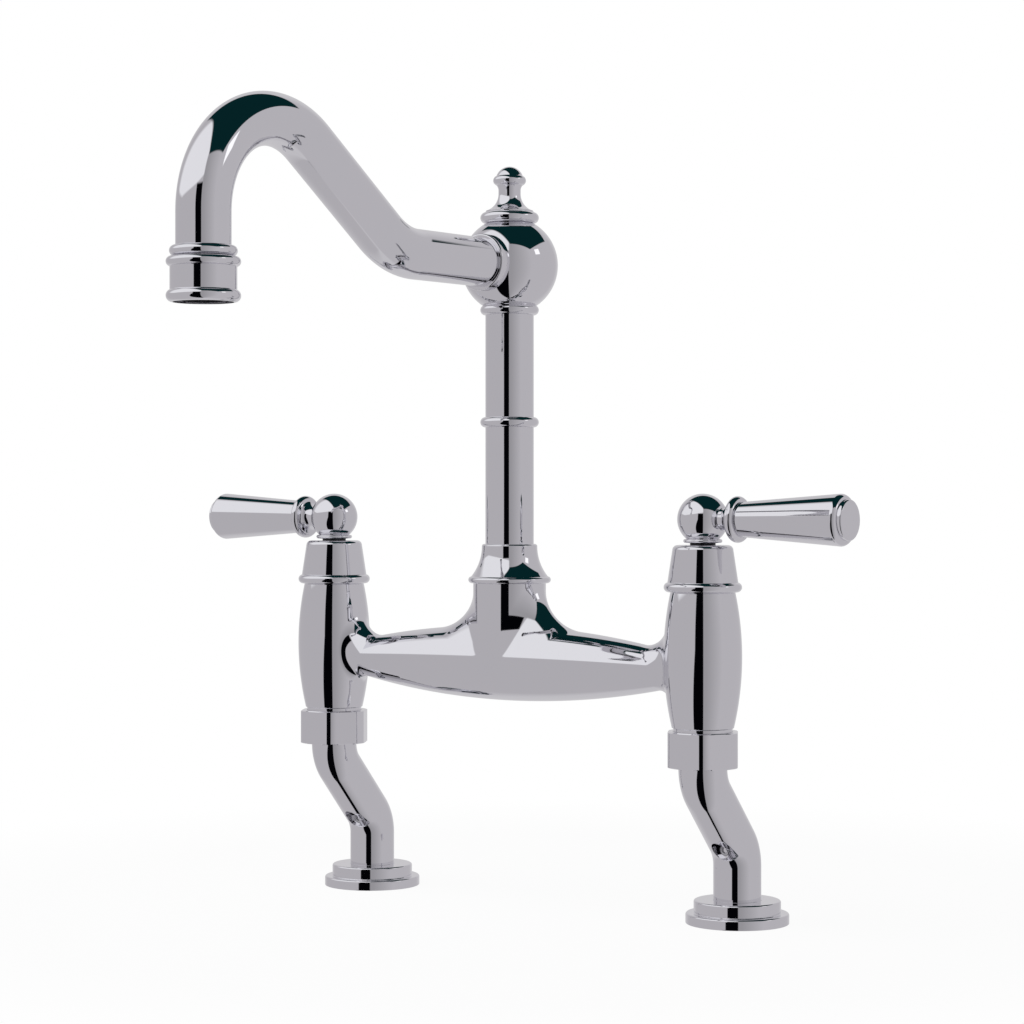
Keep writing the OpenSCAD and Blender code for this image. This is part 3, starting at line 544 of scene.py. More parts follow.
def casting(p):
    """Signed distance, in millimetres, from the skin of the bridge."""
    x, y, up = np.abs(p[..., 0]), p[..., 1] - AXIS_Y, p[..., 2] - BAR_Z
    side, over_belly = x - VALVE_X, p[..., 2] - BELLY_Z
    from_valve = np.maximum(np.hypot(side, y), 1e-9)
    out = from_valve + BARREL_ARC_R - BARREL_R
    belly = np.hypot(over_belly, out)
    barrel = belly - BARREL_ARC_R
    around_bar = np.maximum(np.hypot(y, up), 1e-9)
    deep = around_bar + BAR_ARC_R - BAR_R
    lean = out / from_valve * (side * x + y * y * deep / around_bar)
    lean += over_belly * up * deep / around_bar
    lean = np.clip(lean / (belly * np.hypot(x, deep)), -0.5, 0.99)
    change = np.sin(np.clip(up / FILLET_SPAN, -1, 1) * math.pi / 2)
    fillet = FILLET_R + FILLET_CHANGE * change
    joined = fillet_union(rolled_body(x, y, up), barrel, lean, fillet)
    return np.where(side > 0, barrel, joined)


def slope(field, p, reach=0.01):
    """Direction in which a distance grows."""
    grown = np.zeros_like(p)
    for axis in range(3):
        step = np.zeros(3)
        step[axis] = reach
        grown[..., axis] = field(p + step) - field(p - step)
    return grown / np.maximum(np.linalg.norm(grown, axis=-1, keepdims=True), 1e-9)


# %% [markdown]
# The net starts from a block of small cells. Each cell that the skin passes through gets one point,
# in the middle of the places where the skin crosses its edges, and each crossed edge gets the quad
# that joins the four cells around it.


# %% A net of quads on the formula
def quad_net(field, low, high, step):
    """A mesh of quads close to the place where the field is zero."""
    axes = [np.arange(a, b + step, step) for a, b in zip(low, high)]
    grid = np.stack(np.meshgrid(*axes, indexing="ij"), -1)
    value = field(grid)
    size = np.array(value.shape) - 1
    total, hits = np.zeros((*size, 3)), np.zeros(size)
    crossings = []
    for axis in range(3):
        near = tuple(slice(None, -1) if a == axis else slice(None) for a in range(3))
        far = tuple(slice(1, None) if a == axis else slice(None) for a in range(3))
        a, b = value[near], value[far]
        cross = (a < 0) != (b < 0)
        share = np.where(cross, a / np.where(cross, a - b, 1), 0)
        point = grid[near].copy()
        point[..., axis] += share * step
        others = [k for k in range(3) if k != axis]
        for da in (0, 1):
            for db in (0, 1):
                part = [slice(None)] * 3
                part[others[0]] = slice(da, size[others[0]] + da)
                part[others[1]] = slice(db, size[others[1]] + db)
                part = tuple(part)
                total += point[part] * cross[part][..., None]
                hits += cross[part]
        crossings.append((axis, others, cross, a < 0))
    used = hits > 0
    number = np.full(size, -1)
    number[used] = np.arange(used.sum())
    vertices = total[used] / hits[used][:, None]
    faces = []
    for axis, others, cross, inside in crossings:
        index = np.argwhere(cross)
        keep = np.all([(index[:, o] > 0) & (index[:, o] < size[o]) for o in others], axis=0)
        index = index[keep]
        quad = []
        for da, db in ((1, 1), (0, 1), (0, 0), (1, 0)):
            cell = index.copy()
            cell[:, others[0]] -= da
            cell[:, others[1]] -= db
            quad.append(number[tuple(cell.T)])
        quad = np.stack(quad, 1)
        flip = inside[tuple(index.T)] == (axis == 1)
        quad[flip] = quad[flip][:, ::-1]
        faces.append(quad)
    return vertices, np.concatenate(faces)


NET_START, NET_END, NET_STEP = (-122, -50.1, 84), (122, -8.1, 151), 0.9
net_points, net_faces = quad_net(casting, NET_START, NET_END, NET_STEP)
print("net:", len(net_points), "points", len(net_faces), "quads")

# %% [markdown]
# The net ends in plain cuts where the covers, the ferrule and the union nuts sit. From each cut a
# turned strip goes on: over the rim, down into the chamber for the cartridge or the bore for the
# swivel, and below, round the lip to the threaded stub inside the nut.


# %% Cutting the net and adding rims
def cut_flat(mesh, height, keep_low, near=None):
    """Cuts a bmesh level at a height, where near() holds."""
    faces = [f for f in mesh.faces if near is None or near(f.calc_center_median())]
    part = set(faces)
    for face in faces:
        part.update(face.edges)
        part.update(face.verts)
    bmesh.ops.bisect_plane(
        mesh,
        geom=list(part),
        plane_co=(0, 0, height),
        plane_no=(0, 0, 1),
        clear_outer=keep_low,
        clear_inner=not keep_low,
    )


CUT_LOW = BARREL_LOW + 0.3
BARRELS_BEYOND = 60


def build_casting():
    """Cuts the net, then pulls its points onto the formula."""
    shell = bmesh.new()
    made = [shell.verts.new(p) for p in net_points]
    for quad in net_faces:
        shell.faces.new([made[i] for i in quad])
    cut_flat(shell, BARREL_TOP, True, lambda c: abs(c.x) > BARRELS_BEYOND)
    cut_flat(shell, BOSS_TOP, True)
    cut_flat(shell, CUT_LOW, False)
    bmesh.ops.remove_doubles(shell, verts=shell.verts[:], dist=0.02)
    shell.verts.index_update()
    points = np.array([v.co for v in shell.verts], float)
    faces = [[v.index for v in f.verts] for f in shell.faces]
    rim = np.array([v.is_boundary for v in shell.verts])
    shell.free()
    for _ in range(8):
        way = slope(casting, points)
        way[rim, 2] = 0
        way /= np.maximum((way * way).sum(1, keepdims=True), 0.2)
        points -= casting(points)[:, None] * way
    return points, faces, slope(casting, points), rim


points, faces, net_normals, rim = build_casting()
off = np.abs(casting(points)).max()
print("farthest point from the formula:", round(float(off), 4), "mm")


# %% Joining rims and net
def rim_strip(points, rim, middle, height, profile):
    """A turned strip that starts on a cut of the net."""
    level = rim & (np.abs(points[:, 2] - height) < 1e-3)
    level &= np.hypot(points[:, 0] - middle[0], points[:, 1] - middle[1]) < 30
    loop = np.flatnonzero(level)
    angle = np.arctan2(points[loop, 1] - middle[1], points[loop, 0] - middle[0])
    loop, angle = loop[np.argsort(angle)], np.sort(angle)
    vertices, strip, normals = turn_profile(guard(soften(profile)), angle)
    vertices[:, :2] += middle
    return loop, vertices, strip, normals


def barrel_radius(height):
    return BARREL_R - BARREL_ARC_R + math.sqrt(BARREL_ARC_R**2 - (height - BELLY_Z) ** 2)


SWIVEL_SEAT_R, SWIVEL_BORE_R, CHAMBER_R, INLET_R, STUB_R = 13.4, 11.8, 11.2, 6.8, 12.8
lip = barrel_radius(CUT_LOW)
boss_profile = [(BOSS_R, BOSS_TOP), (SWIVEL_SEAT_R, BOSS_TOP), (SWIVEL_SEAT_R, 151.5)]
boss_profile += [(SWIVEL_BORE_R, 151.5), (SWIVEL_BORE_R, 125.5), (0, 125.5)]
chamber = [(barrel_radius(BARREL_TOP), BARREL_TOP), (CHAMBER_R, BARREL_TOP)]
chamber += [(CHAMBER_R, 104), (0, 104)]
stub = [(0, 90), (INLET_R, 90), (INLET_R, 77), (STUB_R, 77)]
stub += [(STUB_R, BARREL_LOW), (lip, BARREL_LOW), (lip, CUT_LOW)]
rims = [((0, AXIS_Y), BOSS_TOP, boss_profile)]
for side in SIDES.values():
    middle = (side * VALVE_X, AXIS_Y)
    rims += [(middle, BARREL_TOP, chamber), (middle, CUT_LOW, stub)]
corner_normals = np.concatenate([net_normals[face] for face in faces])
all_points, all_faces, all_normals = [points], list(faces), [corner_normals]
for middle, height, profile in rims:
    loop, vertices, strip, normals = rim_strip(points, rim, middle, height, profile)
    start = sum(len(p) for p in all_points)
    all_points.append(vertices)
    all_faces += [[i + start for i in face] for face in strip]
    all_normals.append(normals)
    print("rim at", middle[0], height, "has", len(loop), "points")
casting_mesh = make_mesh(
    "bridge_body", np.concatenate(all_points), all_faces, np.concatenate(all_normals)
)
place_piece(casting_mesh, "bridge_body")

# %% [markdown]
# The ferrule covers the swivel at the foot of the column. It is turned: a bead at its foot, then a
# hollow curve that narrows to the tube. Inside it is bored, so that the column turns in it freely.

# %% Ferrule
turned_piece(
    "swivel_ferrule",
    [(SWIVEL_SEAT_R, BOSS_TOP)]
    + bow((17.1, 149.3), 1.5, -90, 82)
    + bow((34.17, 164.4), 21.67, 218.5, 180)
    + bow((11.5, 164.4), 1.0, 0, 90, 12)
    + [(11.05, 165.4), (11.05, 153.0), (SWIVEL_SEAT_R, 153.0), (SWIVEL_SEAT_R, BOSS_TOP)],
    upright(0, AXIS_Y),
)

# %% [markdown]
# A cover screws down over each valve: a fat bead at its foot, a slightly tapered cone and a round
# shoulder. Both covers share one profile, hollow inside for the cartridge and open for the spindle.

# %% Valve covers
for name, side in SIDES.items():
    turned_piece(
        name + "_cover",
        [(12.8, BARREL_TOP)]
        + bow((14.7, 147.9), 2.1, -90, 76)
        + [(15.18, 150.1)]
        + bow((10.9, 163.8), 2.2, 4, 90, 8)
        + [(5.8, 166.0), (5.8, 163.6), (11.1, 163.6), (11.1, 149.0), (12.8, 149.0)]
        + [(12.8, BARREL_TOP)],
        upright(side * VALVE_X, AXIS_Y),
    )

# %% [markdown]
# A foot is a round flange with two steps and softly broken edges. It slips over the leg and hides
# the hole in the deck.

# %% Feet
for name, side in SIDES.items():
    turned_piece(
        name + "_foot",
        [(LEG_R, 0), (22.7, 0)]
        + bow((21.8, 3.7), 0.9, 0, 90, 15)
        + [(19.1, 4.6)]
        + bow((18.2, 9.3), 0.9, 0, 90, 15)
        + [(LEG_R, 10.2), (LEG_R, 0)],
        upright(side * VALVE_X, 0),
    )

# %% [markdown]
# The column is a plain tube with two round beads, one half way up and one under the ball. The ball
# carries the spout in front and the finial on top, and a short collar frames the spout's socket.

# %% Column, beads, ball and socket
column = upright(0, AXIS_Y)
turned_piece("column_tube", [(0, 164.2), (TUBE_R, 164.2), (TUBE_R, 279.0), (0, 279.0)], column)
BEAD_R, BEAD_BORE_R = 2.3, 10.7
for node, height in (("column_bead", 220.3), ("ball_bead", 270.9)):
    turned_piece(
        node,
        [(BEAD_BORE_R, height - BEAD_R)]
        + bow((TUBE_R, height), BEAD_R, -90, 90, 6)
        + [(BEAD_BORE_R, height + BEAD_R), (BEAD_BORE_R, height - BEAD_R)],
        column,
        round_edge=0.05,
    )
turned_piece("ball_hub", bow((0, BALL_Z), 21.8, -90, 90, 2.5), column, 160)
to_front = Matrix.Translation((0, AXIS_Y, BALL_Z)) @ Matrix.Rotation(math.radians(90), 4, "X")
turned_piece(
    "socket_collar",
    [(10.7, 14.0), (12.6, 14.0)]
    + bow((11.8, 22.7), 0.8, 0, 90, 15)
    + [(10.7, 23.5), (10.7, 14.0)],
    to_front,
)

# %% [markdown]
# The finial is a small turned ornament: a bead that sits on the ball, a curve up to a thin neck, a
# hollow under a ring, and a round knob on top.

# %% Finial
turned_piece(
    "finial",
    [(0, 310.0)]
    + bow((10.75, 312.45), 2.45, -90, 90, 6)
    + [(10.75, 315.3)]
    + bow((13.0, 323.3), 8.0, 253.7, 180)
    + bow((8.3, 324.9), 3.3, 180, 134.9, 6)
    + bow((5.2, 329.3), 2.2, -69.5, 70, 6)
    + bow((0, 329.3), 6.3, 19.2, 90),
    column,
    120,
    0.25,
)

# %% [markdown]
# The outlet collar is a stack of beads round the mouth of the spout. Inside its rim sits the
# aerator, a black cup that holds a steel mesh.

# %% Outlet collar and aerator cup
TUBE_END_Z = 272.5
mouth = upright(0, MOUTH_Y)
turned_piece(
    "outlet_collar",
    [(11.9, 262.5)]
    + bow((12.1, 265.0), 2.5, -90, 66.4, 6)
    + bow((12.6, 278.3), 2.0, -75.5, 90, 6)
    + bow((11.15, 282.45), 2.15, -84, 90, 6)
    + [(10.8, 284.6), (10.8, TUBE_END_Z), (11.9, TUBE_END_Z), (11.9, 262.5)],
    mouth,
)
turned_piece(
    "aerator_body",
    [(9.1, 264.5), (11.88, 264.5), (11.88, 270.9), (10.1, 270.9), (10.1, 265.9), (9.1, 265.9),
     (9.1, 264.5)],
    mouth,
    96,
)

# %% [markdown]
# A lever is a ball on the spindle, a trumpet-shaped neck with a ring, and a grip that widens to a
# round shoulder with a flat button. All are turned, the ball about the spindle and the rest about
# the lever's own axis. The left lever is the right one mirrored.

# %% Levers
HUB_Z = 177.1
for name, side in SIDES.items():
    spindle_axis = upright(side * VALVE_X, AXIS_Y)
    turned_piece(
        name + "_hub",
        [(0, 166.95)]
        + bow((7.55, 167.8), 0.85, -90, 90, 12)
        + bow((0, HUB_Z), 11.0, -50.2, 90, 3),
        spindle_axis,
        round_edge=0.2,
    )
    outward = (
        Matrix.Translation((side * VALVE_X, AXIS_Y, HUB_Z))
        @ Matrix.Diagonal((side, 1, 1, 1))
        @ Matrix.Rotation(math.radians(90), 4, "Y")
    )
    turned_piece(
        name + "_neck",
        [(0, 9.0), (4.8, 9.0), (4.8, 10.8)]
        + bow((9.36, 11.0), 4.56, 180, 109.4)
        + bow((7.85, 17.4), 2.1, -90, 90, 6)
        + [(0, 19.5)],
        outward,
    )
    turned_piece(
        name + "_grip",
        [(0, 19.5), (7.5, 19.5)] + bow((8.4, 66.8), 2.6, 4, 90) + [(0, 69.4)],
        outward,
    )
    turned_piece(
        name + "_button",
        [(0, 69.0), (8.7, 69.0)] + bow((7.8, 70.5), 0.9, 0, 90, 12) + [(0, 71.4)],
        outward,
    )

# %% [markdown]
# The spout and the two legs are bent tubes. A tube follows a path, which is what Geometry Nodes do
# best: a line of points becomes a curve, and a circle is carried along it. The same tree makes all
# three, with the radius and the number of sides as its inputs.


# %% Running a Geometry Nodes tree
def settled_mesh(thing):
    """The plain mesh that an object's modifiers make."""
    bpy.context.view_layer.update()
    ready = bpy.context.evaluated_depsgraph_get()
    return bpy.data.meshes.new_from_object(thing.evaluated_get(ready), depsgraph=ready)


def run_nodes(name, build, inputs, source=None):
    """A plain mesh made by a Geometry Nodes tree, its inputs set by identifier."""
    kinds = {
        float: "NodeSocketFloat",
        int: "NodeSocketInt",
        tuple: "NodeSocketVector",
        bpy.types.Material: "NodeSocketMaterial",
    }
    tree = bpy.data.node_groups.new(name + "_nodes", "GeometryNodeTree")
    tree.interface.new_socket("Geometry", in_out="INPUT", socket_type="NodeSocketGeometry")
    named = {
        label: tree.interface.new_socket(label, in_out="INPUT", socket_type=kinds[type(value)])
        for label, value in inputs.items()
    }
    tree.interface.new_socket("Geometry", in_out="OUTPUT", socket_type="NodeSocketGeometry")
    graph = Graph(tree)
    entry = tree.nodes.new("NodeGroupInput")
    wires = {label: Wire(graph, entry.outputs[label]) for label in ("Geometry", *inputs)}
    real = graph.node("GeometryNodeRealizeInstances", {0: build(graph, wires)})
    paint = {"Geometry": real, "Material": wires["Material"]}
    graph.close("NodeGroupOutput", graph.node("GeometryNodeSetMaterial", paint))
    holder = put_in_scene(bpy.data.objects.new(name, source or bpy.data.meshes.new(name)))
    modifier = holder.modifiers.new("nodes", "NODES")
    modifier.node_group = tree
    for label, socket in named.items():
        modifier[socket.identifier] = inputs[label]
    mesh = settled_mesh(holder)
    holder.modifiers.remove(modifier)
    bpy.data.objects.remove(holder)
    mesh.name = name
    return mesh


def tube_nodes(graph, wires):
    line = graph.node("GeometryNodeMeshToCurve", {0: wires["Geometry"]})
    circle = {"Resolution": wires["Sides"], "Radius": wires["Radius"]}
    ring = graph.node("GeometryNodeCurvePrimitiveCircle", circle)
    swept = {"Curve": line, "Profile Curve": ring, "Fill Caps": True}
    tube = graph.node("GeometryNodeCurveToMesh", swept)
    return graph.node("GeometryNodeSetShadeSmooth", {0: tube})


def tube_along(name, line, to_place, radius):
    """A tube on a flat line; points close to the ends keep the caps from bending the shading."""
    path = [to_place(*point) for point in guard(np.array(line, float), 0.3)]
    source = bpy.data.meshes.new(name + "_path")
    source.from_pydata(
        [tuple(np.array(p) * MM) for p in path], [(i, i + 1) for i in range(len(path) - 1)], []
    )
    return run_nodes(
        name, tube_nodes, {"Radius": radius * MM, "Sides": 144, "Material": chrome}, source
    )


# %% [markdown]
# The spout leaves the ball level, rises on a slant, turns over in a high arch and comes straight
# down to its mouth. Each bend is one arc, with a point for every degree. The line is drawn in two
# numbers: the distance in front of the column and the height over the ball's middle.

# %% Spout
RISE, EACH_DEGREE = 34.5, 1
IN_SOCKET, LEVEL_RUN, LOW_BEND_R, ARCH_R = 12.0, 70.5, 44.0, 40.5
climb, advance = math.sin(math.radians(RISE)), math.cos(math.radians(RISE))
low_bend = bow((LEVEL_RUN, LOW_BEND_R), LOW_BEND_R, -90, RISE - 90, EACH_DEGREE)
arch_u = SPOUT_REACH - ARCH_R
slant = (arch_u - LEVEL_RUN - (LOW_BEND_R + ARCH_R) * climb) / advance
arch_v = low_bend[-1][1] + slant * climb - ARCH_R * advance
arch = bow((arch_u, arch_v), ARCH_R, 90 + RISE, 0, EACH_DEGREE)
spout_line = [(IN_SOCKET, 0.0)] + low_bend + arch + [(SPOUT_REACH, TUBE_END_Z - BALL_Z)]
print("slanting run:", round(slant, 2), "mm; arch centre", round(arch_v, 2), "mm over the ball")
spout = tube_along("spout_tube", spout_line, lambda u, v: (0, AXIS_Y - u, BALL_Z + v), TUBE_R)
place_piece(spout, "spout_tube")

# %% [markdown]
# A leg brings the tube from its tap hole to the valve body, which stands nearer the user. Low on
# its front is a round recess with a screw that clamps the leg to the shank in the deck. The recess
# is cut with a Boolean modifier, which spoils the shading near the cut. So the corner normals are
# taken afterwards from the uncut tube, and in the recess from its own round wall and flat floor.


# %% Cutting a round recess
OFF_SKIN = 0.04 * MM


def drill(mesh, middle, axis, radius, length):
    """Cuts a round hole into a mesh and gives it clean normals."""
    plain = mesh.copy()
    tree = BVHTree.FromPolygons(
        [v.co for v in plain.vertices], [tuple(p.vertices) for p in plain.polygons]
    )
    middle, axis, radius, length = Vector(middle) * MM, Vector(axis), radius * MM, length * MM
    rod = bmesh.new()
    bmesh.ops.create_cone(
        rod, cap_ends=True, segments=64, radius1=radius, radius2=radius, depth=length
    )
    turn = axis.to_track_quat("Z", "Y").to_matrix().to_4x4()
    rod.transform(Matrix.Translation(middle) @ turn @ Matrix.Translation((0, 0, length / 2)))
    tool_mesh = bpy.data.meshes.new("drill")
    rod.to_mesh(tool_mesh)
    rod.free()
    target = put_in_scene(bpy.data.objects.new("drilled", mesh))
    tool = put_in_scene(bpy.data.objects.new("drill", tool_mesh))
    cut = target.modifiers.new("cut", "BOOLEAN")
    cut.object, cut.operation, cut.solver = tool, "DIFFERENCE", "EXACT"
    made = settled_mesh(target)
    for thing in (target, tool):
        bpy.data.objects.remove(thing)
    normals = []
    for face in made.polygons:
        face.use_smooth = True
        in_hole = tree.find_nearest(face.center)[3] > OFF_SKIN
        is_floor = abs(face.normal.dot(axis)) > 0.7
        for corner in face.loop_indices:
            point = made.vertices[made.loops[corner].vertex_index].co
            if not in_hole:
                normals.append(smooth_normal(plain, tree, point, face.normal))
            elif is_floor:
                normals.append(face.normal.copy())
            else:
                inward = middle - point
                normals.append((inward - axis * inward.dot(axis)).normalized())
    made.normals_split_custom_set([tuple(n) for n in normals])
    return made


def smooth_normal(mesh, tree, point, like):
    """Normal of the nearest spot on a smooth mesh, if it looks the same way as the face."""
    spot, _, index, _ = tree.find_nearest(point)
    corners = [mesh.vertices[i] for i in mesh.polygons[index].vertices]
    weights = [1.0 / max((c.co - spot).length, 1e-7) ** 2 for c in corners]
    blend = Vector()
    for corner, weight in zip(corners, weights):
        blend += corner.normal * weight
    blend.normalize()
    return blend if blend.dot(like) > 0.5 else like.copy()


# %% Legs
LEG_BEND, LEG_TURN = 17.0, 42.4
LEG_LOW, CRANK_TOP, LEG_TOP = 0.3, 70.1, 75.0
RECESS_R, RECESS_FLOOR_Y, RECESS_LENGTH = 3.7, -10.09, 15.0
lean = math.radians(LEG_TURN)
crank = (-AXIS_Y - 2 * LEG_BEND * (1 - math.cos(lean))) / math.sin(lean)
rise = 2 * LEG_BEND * math.sin(lean) + crank * math.cos(lean)
leg_run = CRANK_TOP - rise
leg_line = [(0, LEG_LOW)]
leg_line += bow((-LEG_BEND, leg_run), LEG_BEND, 0, LEG_TURN, EACH_DEGREE)
leg_line += bow((AXIS_Y + LEG_BEND, CRANK_TOP), LEG_BEND, 180 + LEG_TURN, 180, EACH_DEGREE)
leg_line += [(AXIS_Y, LEG_TOP)]
screw_z = leg_run + 0.47 * LEG_BEND
for name, side in SIDES.items():
    tube = tube_along(name + "_leg", leg_line, lambda y, z: (side * VALVE_X, y, z), LEG_R)
    floor_middle = (side * VALVE_X, RECESS_FLOOR_Y, screw_z)
    leg = drill(tube, floor_middle, (0, -1, 0), RECESS_R, RECESS_LENGTH)
    place_piece(leg, name + "_leg")
print("screw height:", round(screw_z, 2), "mm; straight run", round(leg_run, 2), "mm")

# %% [markdown]
# Two alike grub screws clamp the legs. One is modelled, a round end with a hexagon socket, and
# Geometry Nodes put it at both legs, the tap holes' distance apart.


# %% Clamping screws
def hexagon(angles, flat):
    """Radius of a hexagon at each angle."""
    return flat / np.cos((angles + math.pi / 6) % (math.pi / 3) - math.pi / 6)


def screw_mesh(name, radius, length, key):
    """A grub screw along Z whose end with the socket lies at the origin."""
    count = 48
    angles = round_angles(count)
    body = guard(soften([(0, -length), (radius, -length), (radius, 0), (key * 1.16, 0)], 0.35))
    vertices, faces, _ = turn_profile(body, angles)
    vertices, last = list(vertices), len(vertices) - count
    hexed = hexagon(angles, key)
    for depth in (-0.12, -1.4):
        vertices += [(r * math.cos(a), r * math.sin(a), depth) for r, a in zip(hexed, angles)]
    for ring in (last, last + count):
        for j in range(count):
            n = (j + 1) % count
            faces.append([ring + j, ring + n, ring + count + n, ring + count + j])
    faces.append([last + 2 * count + j for j in range(count)])
    mesh = make_mesh(name, vertices, faces)
    mesh.set_sharp_from_angle(angle=math.radians(35))
    return mesh


def pair_nodes(graph, wires):
    row = {"Count": 2, "Start Location": wires["Start"], "Offset": wires["Offset"]}
    spots = graph.node("GeometryNodeMeshLine", row)
    return graph.node("GeometryNodeInstanceOnPoints", {0: spots, 2: wires["Geometry"]})


SCREW_END_Y = -10.79
one_screw = screw_mesh("clamp_screw", 2.5, 3.6, 1.25)
one_screw.transform(Matrix.Rotation(math.radians(90), 4, "X"))
screws = run_nodes(
    "clamp_screws",
    pair_nodes,
    {
        "Start": (-VALVE_X * MM, SCREW_END_Y * MM, screw_z * MM),
        "Offset": (2 * VALVE_X * MM, 0.0, 0.0),
        "Material": finishes["steel"],
    },
    one_screw,
)
place_piece(screws, "clamp_screws")

# %% [markdown]
# A union nut is a hexagon whose corners are turned off in a lathe at both ends. That is a rule: at
# each angle and height the skin lies at the lesser of two radii, the hexagon's and the chamfer's.
# So Geometry Nodes start from a plain fine tube and move each point to that radius. A soft minimum
# in place of the lesser value rounds the edges, as polishing does. The corners are also turned to
# one radius along their whole height, which gives each a narrow land.


# %% Union nuts
NUT_LOW, NUT_HEIGHT, NUT_FLAT, NUT_CORNER = 70.6, 15.5, 15.0, 16.3
CHAMFER_START, END_ROUND = 1.04, 0.45


def nut_nodes(graph, wires):
    tube = graph.node(
        "GeometryNodeMeshCylinder",
        {
            "Vertices": wires["Around"],
            "Side Segments": wires["Along"],
            "Radius": wires["Flat"],
            "Depth": wires["Height"],
        },
        fill_type="NONE",
    )
    x, y, z = graph.position()
    sixth = math.pi / 3
    angle = x.sum("ARCTAN2", y, x) + 4 * math.pi
    within = angle.sum("MODULO", angle, sixth) - sixth / 2
    hexed = wires["Flat"] / within.sum("COSINE", within)
    to_end = wires["Height"] / 2 - z.sum("ABSOLUTE", z)
    chamfer = wires["Flat"] * CHAMFER_START + to_end * wires["Slope"]
    turned = chamfer.least(wires["Corner"])
    width, apart = wires["Round"], hexed - turned
    share = (width - apart.sum("ABSOLUTE", apart)).most(0) / width
    low = hexed.least(turned) - share * share * width / 4
    edge = wires["Round"] * END_ROUND
    rounded = (edge - to_end).most(0)
    left = (edge * edge - rounded * rounded).most(0)
    inward = edge - left.sum("SQRT", left)
    scale = (low - inward) / wires["Flat"]
    moved = {0: tube, "Position": graph.vector(x * scale, y * scale, z)}
    nut = graph.node("GeometryNodeSetPosition", moved)
    return graph.node("GeometryNodeSetShadeSmooth", {0: nut})


def nut_mesh(name, middle):
    """The nut's skin from the nodes, with its two end faces and its bore added."""
    skin = run_nodes(
        name,
        nut_nodes,
        {
            "Around": 240,
            "Along": 44,
            "Flat": NUT_FLAT * MM,
            "Height": NUT_HEIGHT * MM,
            "Slope": 2.0,
            "Corner": NUT_CORNER * MM,
            "Round": 0.6 * MM,
            "Material": chrome,
        },
    )
    shell = bmesh.new()
    shell.from_mesh(skin)
    # The upper bore ends 5.75 mm under the middle, so the lower rim is looked for beyond 6 mm.
    for end, bore, depth in ((1, 12.9, 13.5), (-1, 10.8, 2.0)):
        rim = [e for e in shell.edges if e.is_boundary and e.verts[0].co.z * end > 6 * MM]
        ring = bmesh.ops.extrude_edge_only(shell, edges=rim)["geom"]
        corners = [g for g in ring if isinstance(g, bmesh.types.BMVert)]
        for corner in corners:
            flat = Vector((corner.co.x, corner.co.y, 0)).normalized() * bore * MM
            corner.co = Vector((flat.x, flat.y, corner.co.z))
        mouth_edges = [
            g for g in ring
            if isinstance(g, bmesh.types.BMEdge) and g.is_boundary
            and all(v in corners for v in g.verts)
        ]
        inner = bmesh.ops.extrude_edge_only(shell, edges=mouth_edges)["geom"]
        for corner in (g for g in inner if isinstance(g, bmesh.types.BMVert)):
            corner.co.z -= end * depth * MM
    bmesh.ops.recalc_face_normals(shell, faces=shell.faces[:])
    shell.transform(Matrix.Translation(Vector(middle) * MM))
    shell.to_mesh(skin)
    shell.free()
    skin.shade_smooth()
    skin.set_sharp_from_angle(angle=math.radians(40))
    return skin


for name, side in SIDES.items():
    nut = nut_mesh(name + "_union_nut", (side * VALVE_X, AXIS_Y, NUT_LOW + NUT_HEIGHT / 2))
    place_piece(nut, name + "_union_nut")

# %% [markdown]
# The aerator's mesh is woven from thin wires, and here two flat rows stand for the weave. A row of
# points, one for each wire, carries a short rod that is stretched to the chord of the round frame
# at its place, and a second row lies across on top of it.


# %% Aerator mesh
def mesh_nodes(graph, wires):
    reach, pitch = wires["Reach"], wires["Pitch"]
    start, end = graph.vector(pitch / 2 - reach), graph.vector(reach - pitch / 2)
    ends = {"Count": wires["Wires"], "Start Location": start, "Offset": end}
    row = graph.node("GeometryNodeMeshLine", ends, mode="END_POINTS")
    across = graph.position()[0]
    chord = (reach * reach - across * across).most(0)
    chord = chord.sum("SQRT", chord) * 2
    wire = {"Vertices": 10, "Radius": wires["Wire"], "Depth": 1.0}
    rod = graph.node("GeometryNodeMeshCylinder", wire)
    laid = graph.node("GeometryNodeTransform", {0: rod, "Rotation": (math.pi / 2, 0.0, 0.0)})
    stretched = {0: row, 2: laid, "Scale": graph.vector(1.0, chord, 1.0)}
    one_way = graph.node("GeometryNodeInstanceOnPoints", stretched)
    lift = graph.vector(z=wires["Wire"] * 1.2)
    crossed = {0: one_way, "Rotation": (0.0, 0.0, math.pi / 2), "Translation": lift}
    other_way = graph.node("GeometryNodeTransform", crossed)
    both = graph.node("GeometryNodeJoinGeometry", {0: one_way})
    graph.tree.links.new(other_way.socket, both.socket.node.inputs[0])
    smooth = graph.node("GeometryNodeSetShadeSmooth", {0: both})
    return graph.node("GeometryNodeTransform", {0: smooth, "Translation": wires["Middle"]})


woven = run_nodes(
    "aerator_mesh",
    mesh_nodes,
    {
        "Reach": 10.1 * MM,
        "Pitch": 1.15 * MM,
        "Wires": 18,
        "Wire": 0.16 * MM,
        "Middle": (0.0, MOUTH_Y * MM, 266.1 * MM),
        "Material": finishes["steel"],
    },
)
place_piece(woven, "aerator_mesh")

# %% [markdown]
# The faucet stands on a plain pale floor in a white studio. The camera sees floor and background
# as white through Light Path. Near the faucet the floor keeps a part of its own shading, and with
# it the shadow, and further out it goes over into the background without a line. Chrome sees
# through the floor to the lower half of the studio, which draws the dark lines down to the feet.


# %% Floor
def rays(graph):
    """What the camera sees, straight or through glass, and what metal sees."""
    ray = graph.node("ShaderNodeLightPath")
    return ray.out("Is Camera Ray").most(ray.out("Is Transmission Ray")), ray.out("Is Glossy Ray")


